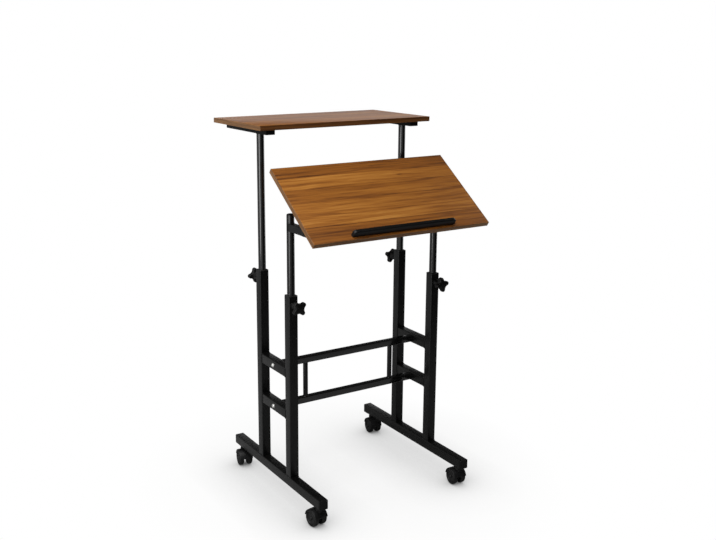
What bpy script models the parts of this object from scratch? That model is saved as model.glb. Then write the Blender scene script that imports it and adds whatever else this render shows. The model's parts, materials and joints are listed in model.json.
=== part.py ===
"""Mobile standing desk: a rolling frame, a height-set upper shelf and a tilting desktop.

Metres, +Z up, +X to the user's right, -Y towards the user. The origin lies on the floor, under the
middle of the desk's outline.
"""
import math

import bmesh
import bpy
from mathutils import Matrix

# Fits
GAP = 0.0003               # line left open between two pieces that touch
RUN = 0.0003               # radial play of a tube, stud, bolt or axle in its hole

# Telescopic legs: a round tube slides in a plastic bush inside a square post
INNER_TUBE = 0.0228        # outside diameter of the round tube
INNER_WALL = 0.0012
BUSH_WALL = 0.0013         # plastic between the round tube and the post, at its thinnest
TUBE_WALL = 0.0012
TUBE_CORNER = 0.0022       # outside corner radius of the square tube
BAR_CORNER = 0.0018        # outside corner radius of the smaller bars
BUSH_SLEEVE = 0.018        # depth of the bush inside the post
BUSH_FLANGE = 0.003        # thickness of the bush on top of the post
TUBE = INNER_TUBE + 2 * (RUN + BUSH_WALL + GAP + TUBE_WALL)
PLUG_CORNER = TUBE_CORNER / 2

# Base frame
FOOT_LENGTH = 0.546
CASTER_HEIGHT = 0.063      # floor to the underside of the feet
POST_SPAN = 0.512          # left post to right post, on centres
POST_SPACING = 0.179       # front post to rear post, on centres
FRONT_POST_TOP = 0.658
REAR_POST_TOP = 0.6965
RUNG = TUBE                # the rungs between the front and rear posts are of the same tube
UPPER_RUNG_Z = 0.4190
LOWER_RUNG_Z = 0.2887
CROSSBAR = 0.020           # square side of the bars between the left and right rungs
CROSSBAR_END = 0.003       # threaded plate that closes a crossbar
STRUT = 0.015              # diameter of the posts between the crossbars
STRUT_SPAN = 0.315
FOOT_CAP_FLANGE = 0.004
FOOT_CAP_PLUG = 0.013
CAP_ROUNDING = 0.0015

# Frame bolts
BOLT = 0.006
BOLT_HEAD = 0.0115
BOLT_HEAD_HEIGHT = 0.0034
BOLT_REACH = 0.008         # thread that stands past the crossbar's end plate

# Star knobs
STUD = 0.008
KNOB_LOBES = 4
KNOB_RING = 0.0169         # middle of the knob to the middle of a lobe
KNOB_LOBE = 0.0066         # radius of a lobe
KNOB_VALLEY = 0.0145       # middle of the knob to the hollow between two lobes
KNOB_HEAD = 0.015          # thickness of the lobed head
KNOB_NECK = 0.020          # length of the neck below the head
KNOB_NECK_TOP = 0.0125     # radius where the neck meets the head
KNOB_NECK_FOOT = 0.0085    # radius where the neck meets the nut
KNOB_WAIST = 0.007         # length of the straight part of the neck
KNOB_FLARE = 0.009         # length over which the neck widens
KNOB_ROUNDING = 0.0030
KNOB_DROP = 0.029          # top of the post to the axis of its knob
NUT_RADIUS = 0.0090
NUT_HEIGHT = 0.0060
KNOB_TURN = {              # how far each height knob is turned, in degrees
    "front_left": 37.0,
    "front_right": 10.5,
    "rear_left": -5.6,
    "rear_right": 23.7,
}
TILT_KNOB_TURN = 20.0

# Upper shelf
SHELF_TOP = 1.1397
SHELF_WIDTH = 0.600
SHELF_DEPTH = 0.316
BOARD = 0.015              # thickness of both boards
BOARD_EDGE = 0.0008        # arris taken off the boards
SHELF_Y = 0.161            # middle of the legs to the middle of the shelf
SHELF_BAR_WIDTH = 0.030
SHELF_BAR_HEIGHT = 0.015
SHELF_BAR_LENGTH = 0.259
SHELF_BAR_SHIFT = 0.0045   # the bars sit this far in front of the shelf's middle
RISER_INSERTION = 0.270    # riser tube inside its post

# Front stage
ARM_Z = 0.8587             # height of the arms and of the tilt pivot
ARM_WIDTH = 0.022
ARM_HEIGHT = 0.022
ARM_REACH = 0.1005         # desk tube to the tilt pivot
ARM_TIP = 0.020            # arm in front of the pivot
TUBE_ABOVE_ARM = 0.0238    # desk tube above the arm, without its cap
TUBE_CAP_DOME = 0.0040
TUBE_CAP_PLUG = 0.012
DESK_TUBE_INSERTION = 0.250

# Desktop, in its own tilted frame
TILT = 35.9                # degrees from level
DESKTOP_WIDTH = 0.600
DESKTOP_DEPTH = 0.297
PIVOT_TO_FRONT = 0.0916    # pivot to the front edge, along the board
PIVOT_DROP = 0.0411        # underside of the board to the pivot
BRACKET_PLATE = 0.003
BRACKET_BASE = 0.064       # bracket's length along the board
BRACKET_FLANGE = 0.030     # bracket's width against the board
BRACKET_EYE = 0.0120       # radius of the bracket round the pivot
BRACKET_WRAP = (190.0, 350.0)
STOP_WIDTH = 0.350
STOP_HEIGHT = 0.020
STOP_DEPTH = 0.012
STOP_INSET = 0.008         # front edge of the board to the rail
STOP_CORNER = 0.009
STOP_ROUNDING = 0.0015

# Casters
CASTER_INSET = 0.028       # end of the foot to the swivel axis
CASTER_TRAIL = 0.012       # swivel axis to the axle
CASTER_TURN = {            # swivel of each caster, in degrees; 0 trails to the rear
    "front_left": 6.0,
    "front_right": -6.0,
    "rear_left": 169.0,
    "rear_right": 172.0,
}
WHEEL_RADIUS = 0.025
WHEEL_WIDTH = 0.016
WHEEL_ROUNDING = 0.0050
WHEEL_RIM = 0.0185         # radius of the dished middle
WHEEL_DISH = 0.0016
AXLE = 0.006
AXLE_COVER = 0.0030        # wheel material over the end of the axle
WEB = 0.011                # hood's spine between the wheels
WEB_PLAY = 0.0006          # spine to wheel
WEB_EYE = 0.0088           # radius of the spine round the axle
WEB_WRAP = (200.0, 340.0)  # the spine's arc round the axle, in degrees
WEB_ARCH = (50.0, 85.0)    # the spine's arc under the hood
HOOD_WALL = 0.0024
HOOD_PLAY = 0.0012         # wheel to hood
HOOD_START = 8.0           # degrees above level, at the trailing side
HOOD_END = 168.0
STEM = 0.010
STEM_COLLAR = 0.0085       # radius of the collar under the foot
STEM_PLAY = 0.001          # top of the stem to the foot's upper wall

# Facets of round shapes
FINE = 20
MEDIUM = 12
CORNER_STEPS = 2
LOBE_STEPS = 5
HOLLOW_STEPS = 2
EYE_STEPS = 6
DOME_STEPS = 3
SMOOTH_UP_TO = math.radians(50)

# Worked out from the driving dimensions
POST_X = POST_SPAN / 2
POST_Y = POST_SPACING / 2
POST_FOOT = CASTER_HEIGHT + TUBE + GAP
PIVOT_Y = -POST_Y - ARM_REACH
DESK_TUBE_TOP = ARM_Z + ARM_HEIGHT / 2 + TUBE_ABOVE_ARM
SHELF_UNDER = SHELF_TOP - BOARD
SHELF_BAR_UNDER = SHELF_UNDER - GAP - SHELF_BAR_HEIGHT
NUT_FACE = TUBE / 2 + NUT_HEIGHT
KNOB_SEAT = NUT_HEIGHT + GAP
STUD_HOLE = STUD / 2 + RUN
BOLT_HOLE = BOLT / 2 + RUN
TILT_RAD = math.radians(TILT)
STOP_FRONT = (PIVOT_Y - math.cos(TILT_RAD) * (PIVOT_TO_FRONT - STOP_INSET)
              - math.sin(TILT_RAD) * (PIVOT_DROP + BOARD + GAP + STOP_HEIGHT)
              + STOP_ROUNDING * (math.cos(TILT_RAD) + math.sin(TILT_RAD) - 1))
SHELF_BACK = SHELF_Y + SHELF_DEPTH / 2
LEG_Y = -(STOP_FRONT + SHELF_BACK) / 2

SIDES = (("left", -1), ("right", 1))
ENDS = (("front", -1), ("rear", 1))

# Turns that carry an outline (first, second, thickness) onto world axes
OUTLINE_YZ = Matrix(((0, 0, 1), (1, 0, 0), (0, 1, 0))).to_euler()
OUTLINE_XZ = Matrix(((1, 0, 0), (0, 0, -1), (0, 1, 0))).to_euler()
UPRIGHT = (0.0, 0.0, 0.0)


def clear_scene():
    for obj in list(bpy.data.objects):
        bpy.data.objects.remove(obj, do_unlink=True)


def make_collection(name):
    collection = bpy.data.collections.new(name)
    bpy.context.scene.collection.children.link(collection)
    return collection


def make_material(name, colour, roughness, metallic):
    material = bpy.data.materials.new(name)
    material.use_nodes = True
    shader = material.node_tree.nodes["Principled BSDF"]
    shader.inputs["Base Color"].default_value = (*colour, 1.0)
    shader.inputs["Roughness"].default_value = roughness
    shader.inputs["Metallic"].default_value = metallic
    return material


def add_empty(name, parent, location, rotation=UPRIGHT):
    empty = bpy.data.objects.new(name, None)
    empty.empty_display_size = 0.02
    PARTS.objects.link(empty)
    empty.parent = parent
    empty.location = location
    empty.rotation_euler = rotation
    return empty


def add_part(name, mesh, material, parent, location, rotation=UPRIGHT):
    part = bpy.data.objects.new(name, mesh)
    PARTS.objects.link(part)
    part.parent = parent
    part.location = location
    part.rotation_euler = rotation
    part.data.materials.append(material)
    return part


def add_cutter(name, mesh, parent, location, rotation=UPRIGHT):
    cutter = bpy.data.objects.new(name, mesh)
    CUTTERS.objects.link(cutter)
    cutter.parent = parent
    cutter.location = location
    cutter.rotation_euler = rotation
    cutter.hide_render = True
    cutter.display_type = 'WIRE'
    return cutter


def combine(part, other, operation):
    modifier = part.modifiers.new(other.name, 'BOOLEAN')
    modifier.operation = operation
    modifier.object = other


def cut(part, other):
    combine(part, other, 'DIFFERENCE')


def fuse(part, other):
    combine(part, other, 'UNION')


def round_edges(part, width, segments):
    modifier = part.modifiers.new("rounding", 'BEVEL')
    modifier.width = width
    modifier.segments = segments
    modifier.limit_method = 'ANGLE'
    modifier.angle_limit = math.radians(60)


def turn(part, steps):
    """Turn the part's profile, drawn in its XZ plane, about its own Z axis."""
    modifier = part.modifiers.new("turn", 'SCREW')
    modifier.axis = 'Z'
    modifier.angle = 2 * math.pi
    modifier.steps = steps
    modifier.render_steps = steps
    modifier.use_merge_vertices = True
    modifier.merge_threshold = 0.00001


def arc(centre, radius, start, end, steps):
    """Points on an arc, from start to end in degrees."""
    points = []
    for step in range(steps + 1):
        angle = math.radians(start + (end - start) * step / steps)
        points.append((centre[0] + radius * math.cos(angle), centre[1] + radius * math.sin(angle)))
    return points


def circle(radius, steps):
    return arc((0.0, 0.0), radius, 0.0, 360.0, steps)[:-1]


def rounded_rectangle(width, height, radius):
    points = []
    corners = ((1, 1, 0.0), (-1, 1, 90.0), (-1, -1, 180.0), (1, -1, 270.0))
    for across, up, start in corners:
        centre = (across * (width / 2 - radius), up * (height / 2 - radius))
        points += arc(centre, radius, start, start + 90.0, CORNER_STEPS)
    return points


def shade_round(mesh):
    """Shade the mesh smooth, apart from its real edges."""
    mesh.shade_smooth()
    mesh.set_sharp_from_angle(angle=SMOOTH_UP_TO)


def outline_mesh(name, outlines, thickness):
    """Mesh of flat outlines, the later ones holes, thickened along Z about the middle."""
    curve = bpy.data.curves.new(name, 'CURVE')
    curve.dimensions = '2D'
    curve.fill_mode = 'BOTH'
    curve.extrude = thickness / 2
    for outline in outlines:
        spline = curve.splines.new('POLY')
        spline.points.add(len(outline) - 1)
        spline.use_cyclic_u = True
        for point, (first, second) in zip(spline.points, outline):
            point.co = (first, second, 0.0, 1.0)
    carrier = bpy.data.objects.new(name, curve)
    bpy.context.scene.collection.objects.link(carrier)
    depsgraph = bpy.context.evaluated_depsgraph_get()
    mesh = bpy.data.meshes.new_from_object(carrier.evaluated_get(depsgraph))
    bpy.data.objects.remove(carrier)
    bpy.data.curves.remove(curve)
    shape = bmesh.new()
    shape.from_mesh(mesh)
    bmesh.ops.remove_doubles(shape, verts=shape.verts, dist=0.000001)
    bmesh.ops.recalc_face_normals(shape, faces=shape.faces)
    shape.to_mesh(mesh)
    shape.free()
    mesh.name = name
    shade_round(mesh)
    return mesh


def box_mesh(name, size):
    mesh = bpy.data.meshes.new(name)
    shape = bmesh.new()
    bmesh.ops.create_cube(shape, size=1.0, matrix=Matrix.Diagonal((*size, 1.0)))
    shape.to_mesh(mesh)
    shape.free()
    return mesh


def cylinder_mesh(name, radius, length, steps):
    mesh = bpy.data.meshes.new(name)
    shape = bmesh.new()
    bmesh.ops.create_cone(shape, cap_ends=True, segments=steps, radius1=radius, radius2=radius, depth=length)
    shape.to_mesh(mesh)
    shape.free()
    shade_round(mesh)
    return mesh


def profile_mesh(name, points):
    """Open profile of (radius, height) points, from the top down the outer side."""
    mesh = bpy.data.meshes.new(name)
    vertices = [(radius, 0.0, height) for radius, height in points]
    edges = [(index, index + 1) for index in range(len(points) - 1)]
    mesh.from_pydata(vertices, edges, [])
    return mesh


def dome(radius, rise):
    """Profile of a domed head, from the top of its axis down to its rim."""
    points = []
    for step in range(DOME_STEPS + 1):
        angle = math.pi / 2 * (1 - step / DOME_STEPS)
        points.append((radius * math.cos(angle), rise * math.sin(angle)))
    return [(0.0, rise)] + points[1:]


def box_tube_mesh(name, width, height, length, wall, corner):
    outer = rounded_rectangle(width, height, corner)
    inner = rounded_rectangle(width - 2 * wall, height - 2 * wall, max(corner - wall, wall / 2))
    return outline_mesh(name, (outer, inner), length)


def round_tube_mesh(name, diameter, wall, length):
    return outline_mesh(name, (circle(diameter / 2, FINE), circle(diameter / 2 - wall, FINE)), length)


def make_feet():
    tube_length = FOOT_LENGTH - 2 * (FOOT_CAP_FLANGE + GAP)
    centre_z = CASTER_HEIGHT + TUBE / 2
    plug_side = TUBE - 2 * (TUBE_WALL + GAP)
    for side, across in SIDES:
        mesh = box_tube_mesh("foot_tube_" + side, TUBE, TUBE, tube_length, TUBE_WALL, TUBE_CORNER)
        foot = add_part("foot_tube_" + side, mesh, PAINT, BASE, (across * POST_X, 0.0, centre_z), OUTLINE_XZ)
        for end, along in ENDS:
            place = "_" + end + "_" + side
            hole = cylinder_mesh("stem_hole" + place, STEM / 2 + RUN, TUBE, FINE)
            cut(foot, add_cutter("stem_hole" + place, hole, BASE,
                                 (across * POST_X, along * stem_y(), CASTER_HEIGHT)))
            flange_y = along * (FOOT_LENGTH - FOOT_CAP_FLANGE) / 2
            flange = outline_mesh("foot_cap" + place, (rounded_rectangle(TUBE, TUBE, TUBE_CORNER),),
                                  FOOT_CAP_FLANGE)
            cap = add_part("foot_cap" + place, flange, CAP_PLASTIC, BASE,
                           (across * POST_X, flange_y, centre_z), OUTLINE_XZ)
            round_edges(cap, CAP_ROUNDING, 1)
            plug_length = FOOT_CAP_PLUG + FOOT_CAP_FLANGE / 2
            plug = outline_mesh("foot_plug" + place,
                                (rounded_rectangle(plug_side, plug_side, PLUG_CORNER),), plug_length)
            fuse(cap, add_cutter("foot_plug" + place, plug, BASE,
                                 (across * POST_X, flange_y - along * plug_length / 2, centre_z), OUTLINE_XZ))


def stem_y():
    return FOOT_LENGTH / 2 - CASTER_INSET


def make_posts():
    for side, across in SIDES:
        for end, along in ENDS:
            place = "_" + end + "_" + side
            top = post_top(along)
            steel_top = top - BUSH_FLANGE - GAP
            x, y = across * POST_X, along * POST_Y
            mesh = box_tube_mesh("post" + place, TUBE, TUBE, steel_top - POST_FOOT, TUBE_WALL, TUBE_CORNER)
            post = add_part("post" + place, mesh, PAINT, BASE, (x, y, (steel_top + POST_FOOT) / 2))
            knob_z = top - KNOB_DROP
            nut_length = NUT_HEIGHT + TUBE_WALL / 2
            nut = cylinder_mesh("knob_nut" + place, NUT_RADIUS, nut_length, MEDIUM)
            fuse(post, add_cutter("knob_nut" + place, nut, BASE,
                                  (x, y + along * (NUT_FACE - nut_length / 2), knob_z), OUTLINE_XZ))
            hole_length = NUT_HEIGHT + TUBE / 2
            hole = cylinder_mesh("stud_hole" + place, STUD_HOLE, hole_length, MEDIUM)
            cut(post, add_cutter("stud_hole" + place, hole, BASE,
                                 (x, y + along * (NUT_FACE + GAP - hole_length / 2), knob_z), OUTLINE_XZ))
            make_bush("post_bush" + place, (x, y, top))


def post_top(along):
    return REAR_POST_TOP if along > 0 else FRONT_POST_TOP


def make_bush(name, seat):
    x, y, top = seat
    flange = outline_mesh(name, (rounded_rectangle(TUBE, TUBE, TUBE_CORNER),), BUSH_FLANGE)
    bush = add_part(name, flange, BUSH_PLASTIC, BASE, (x, y, top - BUSH_FLANGE / 2))
    round_edges(bush, BUSH_FLANGE / 3, 1)
    sleeve_side = INNER_TUBE + 2 * (RUN + BUSH_WALL)
    sleeve_length = BUSH_SLEEVE + BUSH_FLANGE / 2
    sleeve = outline_mesh(name + "_sleeve",
                          (rounded_rectangle(sleeve_side, sleeve_side, PLUG_CORNER),), sleeve_length)
    fuse(bush, add_cutter(name + "_sleeve", sleeve, BASE,
                          (x, y, top - BUSH_FLANGE / 2 - sleeve_length / 2)))
    bore = cylinder_mesh(name + "_bore", INNER_TUBE / 2 + RUN, 3 * (BUSH_SLEEVE + BUSH_FLANGE), FINE)
    cut(bush, add_cutter(name + "_bore", bore, BASE, (x, y, top)))


def make_rungs():
    rung_length = POST_SPACING - TUBE - 2 * GAP
    bar_length = POST_SPAN - RUNG - 2 * GAP
    for level, z in (("upper", UPPER_RUNG_Z), ("lower", LOWER_RUNG_Z)):
        outer = outline_mesh("crossbar_" + level, (rounded_rectangle(CROSSBAR, CROSSBAR, BAR_CORNER),),
                             bar_length)
        bar = add_part("crossbar_" + level, outer, PAINT, BASE, (0.0, 0.0, z), OUTLINE_YZ)
        hollow_side = CROSSBAR - 2 * TUBE_WALL
        hollow = outline_mesh("crossbar_hollow_" + level,
                              (rounded_rectangle(hollow_side, hollow_side, TUBE_WALL),),
                              bar_length - 2 * CROSSBAR_END)
        cut(bar, add_cutter("crossbar_hollow_" + level, hollow, BASE, (0.0, 0.0, z), OUTLINE_YZ))
        for side, across in SIDES:
            place = "_" + level + "_" + side
            mesh = box_tube_mesh("rung" + place, RUNG, RUNG, rung_length, TUBE_WALL, TUBE_CORNER)
            rung = add_part("rung" + place, mesh, PAINT, BASE, (across * POST_X, 0.0, z), OUTLINE_XZ)
            hole_length = 2 * RUNG
            hole = cylinder_mesh("bolt_hole" + place, BOLT_HOLE, hole_length, MEDIUM)
            cutter = add_cutter("bolt_hole" + place, hole, BASE, (across * POST_X, 0.0, z), OUTLINE_YZ)
            cut(rung, cutter)
            cut(bar, cutter)
            make_bolt("frame_bolt" + place, across, z)


def make_bolt(name, across, z):
    """Button-head bolt, head outwards, through the rung into the crossbar."""
    shank = RUNG + 2 * GAP + CROSSBAR_END + BOLT_REACH
    profile = dome(BOLT_HEAD / 2, BOLT_HEAD_HEIGHT) + [(BOLT / 2, 0.0), (BOLT / 2, -shank), (0.0, -shank)]
    bolt = add_part(name, profile_mesh(name, profile), ZINC, BASE,
                    (across * (POST_X + RUNG / 2 + GAP), 0.0, z), (0.0, across * math.pi / 2, 0.0))
    turn(bolt, MEDIUM)


def make_struts():
    length = UPPER_RUNG_Z - LOWER_RUNG_Z - CROSSBAR - 2 * GAP
    middle = (UPPER_RUNG_Z + LOWER_RUNG_Z) / 2
    for side, across in SIDES:
        mesh = round_tube_mesh("strut_" + side, STRUT, TUBE_WALL, length)
        add_part("strut_" + side, mesh, PAINT, BASE, (across * STRUT_SPAN / 2, 0.0, middle))


def knob_outline():
    """Round lobes, and hollows between them whose arcs run smoothly into the lobes."""
    half = math.pi / KNOB_LOBES
    lean = KNOB_RING * math.cos(half)
    hollow = ((KNOB_VALLEY ** 2 - 2 * KNOB_VALLEY * lean + KNOB_RING ** 2 - KNOB_LOBE ** 2)
              / (2 * (KNOB_LOBE + lean - KNOB_VALLEY)))
    hollow_ring = KNOB_VALLEY + hollow
    wrap = math.degrees(math.atan2(hollow_ring * math.sin(half), hollow_ring * math.cos(half) - KNOB_RING))
    points = []
    for lobe in range(KNOB_LOBES):
        angle = 2 * half * lobe
        turned = math.degrees(angle)
        lobe_centre = (KNOB_RING * math.cos(angle), KNOB_RING * math.sin(angle))
        hollow_centre = (hollow_ring * math.cos(angle + half), hollow_ring * math.sin(angle + half))
        points += arc(lobe_centre, KNOB_LOBE, turned - wrap, turned + wrap, LOBE_STEPS)
        points += arc(hollow_centre, hollow, turned + 180.0 + wrap,
                      turned + 180.0 + 2 * math.degrees(half) - wrap, HOLLOW_STEPS)[1:-1]
    return points


def make_knob(name, parent, location, rotation, angle, neck_foot, stud_length):
    """Lobed knob whose local +Z points out; z = 0 is the face that its neck bears on."""
    hub = add_empty(name + "_axis", parent, location, rotation)
    spin = (0.0, 0.0, math.radians(angle))
    head_z = neck_foot + KNOB_NECK + KNOB_HEAD / 2
    knob = add_part(name, outline_mesh(name, (knob_outline(),), KNOB_HEAD), KNOB_PLASTIC, hub,
                    (0.0, 0.0, head_z), spin)
    round_edges(knob, KNOB_ROUNDING, 2)
    waist_top = neck_foot + KNOB_WAIST
    profile = [(0.0, head_z), (KNOB_NECK_TOP, head_z), (KNOB_NECK_TOP, waist_top + KNOB_FLARE),
               (KNOB_NECK_FOOT, waist_top), (KNOB_NECK_FOOT, neck_foot), (STUD / 2, neck_foot),
               (STUD / 2, neck_foot - stud_length), (0.0, neck_foot - stud_length)]
    neck = add_cutter(name + "_neck", profile_mesh(name + "_neck", profile), hub, (0.0, 0.0, 0.0), spin)
    turn(neck, MEDIUM)
    fuse(knob, neck)


def make_height_knobs():
    stud_length = NUT_HEIGHT + GAP + TUBE / 2 - INNER_TUBE / 2 - GAP
    for side, across in SIDES:
        for end, along in ENDS:
            place = end + "_" + side
            seat = (across * POST_X, along * (POST_Y + TUBE / 2), post_top(along) - KNOB_DROP)
            outwards = (math.pi / 2, 0.0, 0.0) if along < 0 else (-math.pi / 2, 0.0, 0.0)
            make_knob("height_knob_" + place, BASE, seat, outwards, KNOB_TURN[place], KNOB_SEAT, stud_length)


def make_shelf_stage():
    stage = add_empty("shelf_stage", BASE, (0.0, POST_Y, REAR_POST_TOP))
    foot = REAR_POST_TOP - RISER_INSERTION
    top = SHELF_BAR_UNDER - GAP
    for side, across in SIDES:
        x = across * POST_X
        tube = round_tube_mesh("riser_tube_" + side, INNER_TUBE, INNER_WALL, top - foot)
        add_part("riser_tube_" + side, tube, PAINT, stage, (x, 0.0, (top + foot) / 2 - REAR_POST_TOP))
        bar = box_tube_mesh("shelf_bar_" + side, SHELF_BAR_WIDTH, SHELF_BAR_HEIGHT, SHELF_BAR_LENGTH,
                            TUBE_WALL, BAR_CORNER)
        bar_z = SHELF_BAR_UNDER + SHELF_BAR_HEIGHT / 2 - REAR_POST_TOP
        bar_y = SHELF_Y - SHELF_BAR_SHIFT - POST_Y
        add_part("shelf_bar_" + side, bar, PAINT, stage, (x, bar_y, bar_z), OUTLINE_XZ)
    mesh = box_mesh("upper_shelf", (SHELF_WIDTH, SHELF_DEPTH, BOARD))
    board = add_part("upper_shelf", mesh, LAMINATE, stage,
                     (0.0, SHELF_Y - POST_Y, SHELF_TOP - BOARD / 2 - REAR_POST_TOP))
    round_edges(board, BOARD_EDGE, 1)


def make_desk_stage():
    stage = add_empty("desk_stage", BASE, (0.0, -POST_Y, FRONT_POST_TOP))
    foot = FRONT_POST_TOP - DESK_TUBE_INSERTION
    for side, across in SIDES:
        x = across * POST_X
        tube = round_tube_mesh("desk_tube_" + side, INNER_TUBE, INNER_WALL, DESK_TUBE_TOP - foot)
        middle = (DESK_TUBE_TOP + foot) / 2
        add_part("desk_tube_" + side, tube, PAINT, stage, (x, 0.0, middle - FRONT_POST_TOP))
        make_tube_cap("tube_cap_" + side, stage, (x, 0.0, DESK_TUBE_TOP + GAP - FRONT_POST_TOP))
        make_arm(side, across, stage)
    return stage


def make_tube_cap(name, stage, seat):
    radius = INNER_TUBE / 2
    plug = radius - INNER_WALL - GAP
    profile = dome(radius, TUBE_CAP_DOME) + [(plug, 0.0), (plug, -TUBE_CAP_PLUG), (0.0, -TUBE_CAP_PLUG)]
    cap = add_part(name, profile_mesh(name, profile), CAP_PLASTIC, stage, seat)
    turn(cap, FINE)


def make_arm(side, across, stage):
    """Forward arm: coped onto the desk tube, closed at its tip, bored for the tilt stud."""
    name = "desk_arm_" + side
    x, z = across * POST_X, ARM_Z - FRONT_POST_TOP
    length = ARM_REACH + ARM_TIP
    outer = outline_mesh(name, (rounded_rectangle(ARM_WIDTH, ARM_HEIGHT, BAR_CORNER),), length)
    arm = add_part(name, outer, PAINT, stage, (x, -length / 2, z), OUTLINE_XZ)
    nut_length = NUT_HEIGHT + TUBE_WALL / 2
    nut = cylinder_mesh("tilt_nut_" + side, NUT_RADIUS, nut_length, MEDIUM)
    nut_x = x + across * (ARM_WIDTH / 2 + NUT_HEIGHT - nut_length / 2)
    fuse(arm, add_cutter("tilt_nut_" + side, nut, stage, (nut_x, -ARM_REACH, z), OUTLINE_YZ))
    inside = rounded_rectangle(ARM_WIDTH - 2 * TUBE_WALL, ARM_HEIGHT - 2 * TUBE_WALL, TUBE_WALL)
    hollow = outline_mesh("arm_hollow_" + side, (inside,), length)
    cut(arm, add_cutter("arm_hollow_" + side, hollow, stage, (x, -length / 2 + 2 * TUBE_WALL, z), OUTLINE_XZ))
    cope = cylinder_mesh("arm_cope_" + side, INNER_TUBE / 2 + GAP, 2 * ARM_HEIGHT, FINE)
    cut(arm, add_cutter("arm_cope_" + side, cope, stage, (x, 0.0, z)))
    bore = cylinder_mesh("tilt_hole_" + side, STUD_HOLE, 3 * ARM_WIDTH, MEDIUM)
    cut(arm, add_cutter("tilt_hole_" + side, bore, stage, (x, -ARM_REACH, z), OUTLINE_YZ))


def make_desktop(stage):
    """Board, stop rail and brackets, in a frame that lies on the pivot and tilts with the board."""
    pivot = add_empty("desktop_pivot", stage, (0.0, -ARM_REACH, ARM_Z - FRONT_POST_TOP), (TILT_RAD, 0.0, 0.0))
    front = -PIVOT_TO_FRONT
    top = PIVOT_DROP + BOARD
    mesh = box_mesh("desktop_board", (DESKTOP_WIDTH, DESKTOP_DEPTH, BOARD))
    board = add_part("desktop_board", mesh, LAMINATE, pivot,
                     (0.0, front + DESKTOP_DEPTH / 2, top - BOARD / 2))
    round_edges(board, BOARD_EDGE, 1)
    face = rounded_rectangle(STOP_WIDTH, 2 * STOP_HEIGHT, STOP_CORNER)
    upper = [point for point in face if point[1] > 0.0]
    rail_outline = upper + [(-STOP_WIDTH / 2, 0.0), (STOP_WIDTH / 2, 0.0)]
    rail = add_part("stop_rail", outline_mesh("stop_rail", (rail_outline,), STOP_DEPTH), KNOB_PLASTIC, pivot,
                    (0.0, front + STOP_INSET + STOP_DEPTH / 2, top + GAP), OUTLINE_XZ)
    round_edges(rail, STOP_ROUNDING, 2)
    for side, across in SIDES:
        make_bracket(side, across, pivot)


def make_bracket(side, across, pivot):
    """Bent plate: a cheek beside the arm's inner face and a flange under the board."""
    name = "tilt_bracket_" + side
    seat = PIVOT_DROP - GAP
    eye = arc((0.0, 0.0), BRACKET_EYE, *BRACKET_WRAP, 2 * EYE_STEPS)
    cheek_outline = eye + [(BRACKET_BASE / 2, seat - BRACKET_PLATE), (BRACKET_BASE / 2, seat),
                           (-BRACKET_BASE / 2, seat), (-BRACKET_BASE / 2, seat - BRACKET_PLATE)]
    inner_face = POST_X - ARM_WIDTH / 2 - GAP
    mesh = outline_mesh(name, (cheek_outline, circle(STUD_HOLE, MEDIUM)), BRACKET_PLATE)
    cheek = add_part(name, mesh, PAINT, pivot, (across * (inner_face - BRACKET_PLATE / 2), 0.0, 0.0),
                     OUTLINE_YZ)
    flange = box_mesh(name + "_flange", (BRACKET_FLANGE, BRACKET_BASE, BRACKET_PLATE))
    fuse(cheek, add_cutter(name + "_flange", flange, pivot,
                           (across * (inner_face - BRACKET_FLANGE / 2), 0.0, seat - BRACKET_PLATE / 2)))


def make_tilt_knobs(stage):
    stud_length = GAP + BRACKET_PLATE + GAP + ARM_WIDTH + NUT_HEIGHT
    for side, across in SIDES:
        seat = (across * (POST_X - ARM_WIDTH / 2 - GAP - BRACKET_PLATE), -ARM_REACH, ARM_Z - FRONT_POST_TOP)
        inwards = (0.0, -across * math.pi / 2, 0.0)
        make_knob("tilt_knob_" + side, stage, seat, inwards, TILT_KNOB_TURN, GAP, stud_length)


def make_wheel_profile():
    """Wheel on its axle side up to its outer face: dished middle, rim, rounded tread, blind bore."""
    radius = WHEEL_RADIUS / math.cos(math.pi / FINE)
    bore = AXLE / 2 + RUN
    shoulder = radius - WHEEL_ROUNDING
    face = [(0.0, WHEEL_WIDTH - WHEEL_DISH), (WHEEL_RIM - WHEEL_DISH, WHEEL_WIDTH - WHEEL_DISH),
            (WHEEL_RIM, WHEEL_WIDTH)]
    tread = arc((shoulder, WHEEL_WIDTH - WHEEL_ROUNDING), WHEEL_ROUNDING, 90.0, 0.0, CORNER_STEPS)
    back = [(radius, WHEEL_ROUNDING), (shoulder, 0.0), (bore, 0.0), (bore, WHEEL_WIDTH - AXLE_COVER),
            (0.0, WHEEL_WIDTH - AXLE_COVER)]
    return face + tread + back


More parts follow.
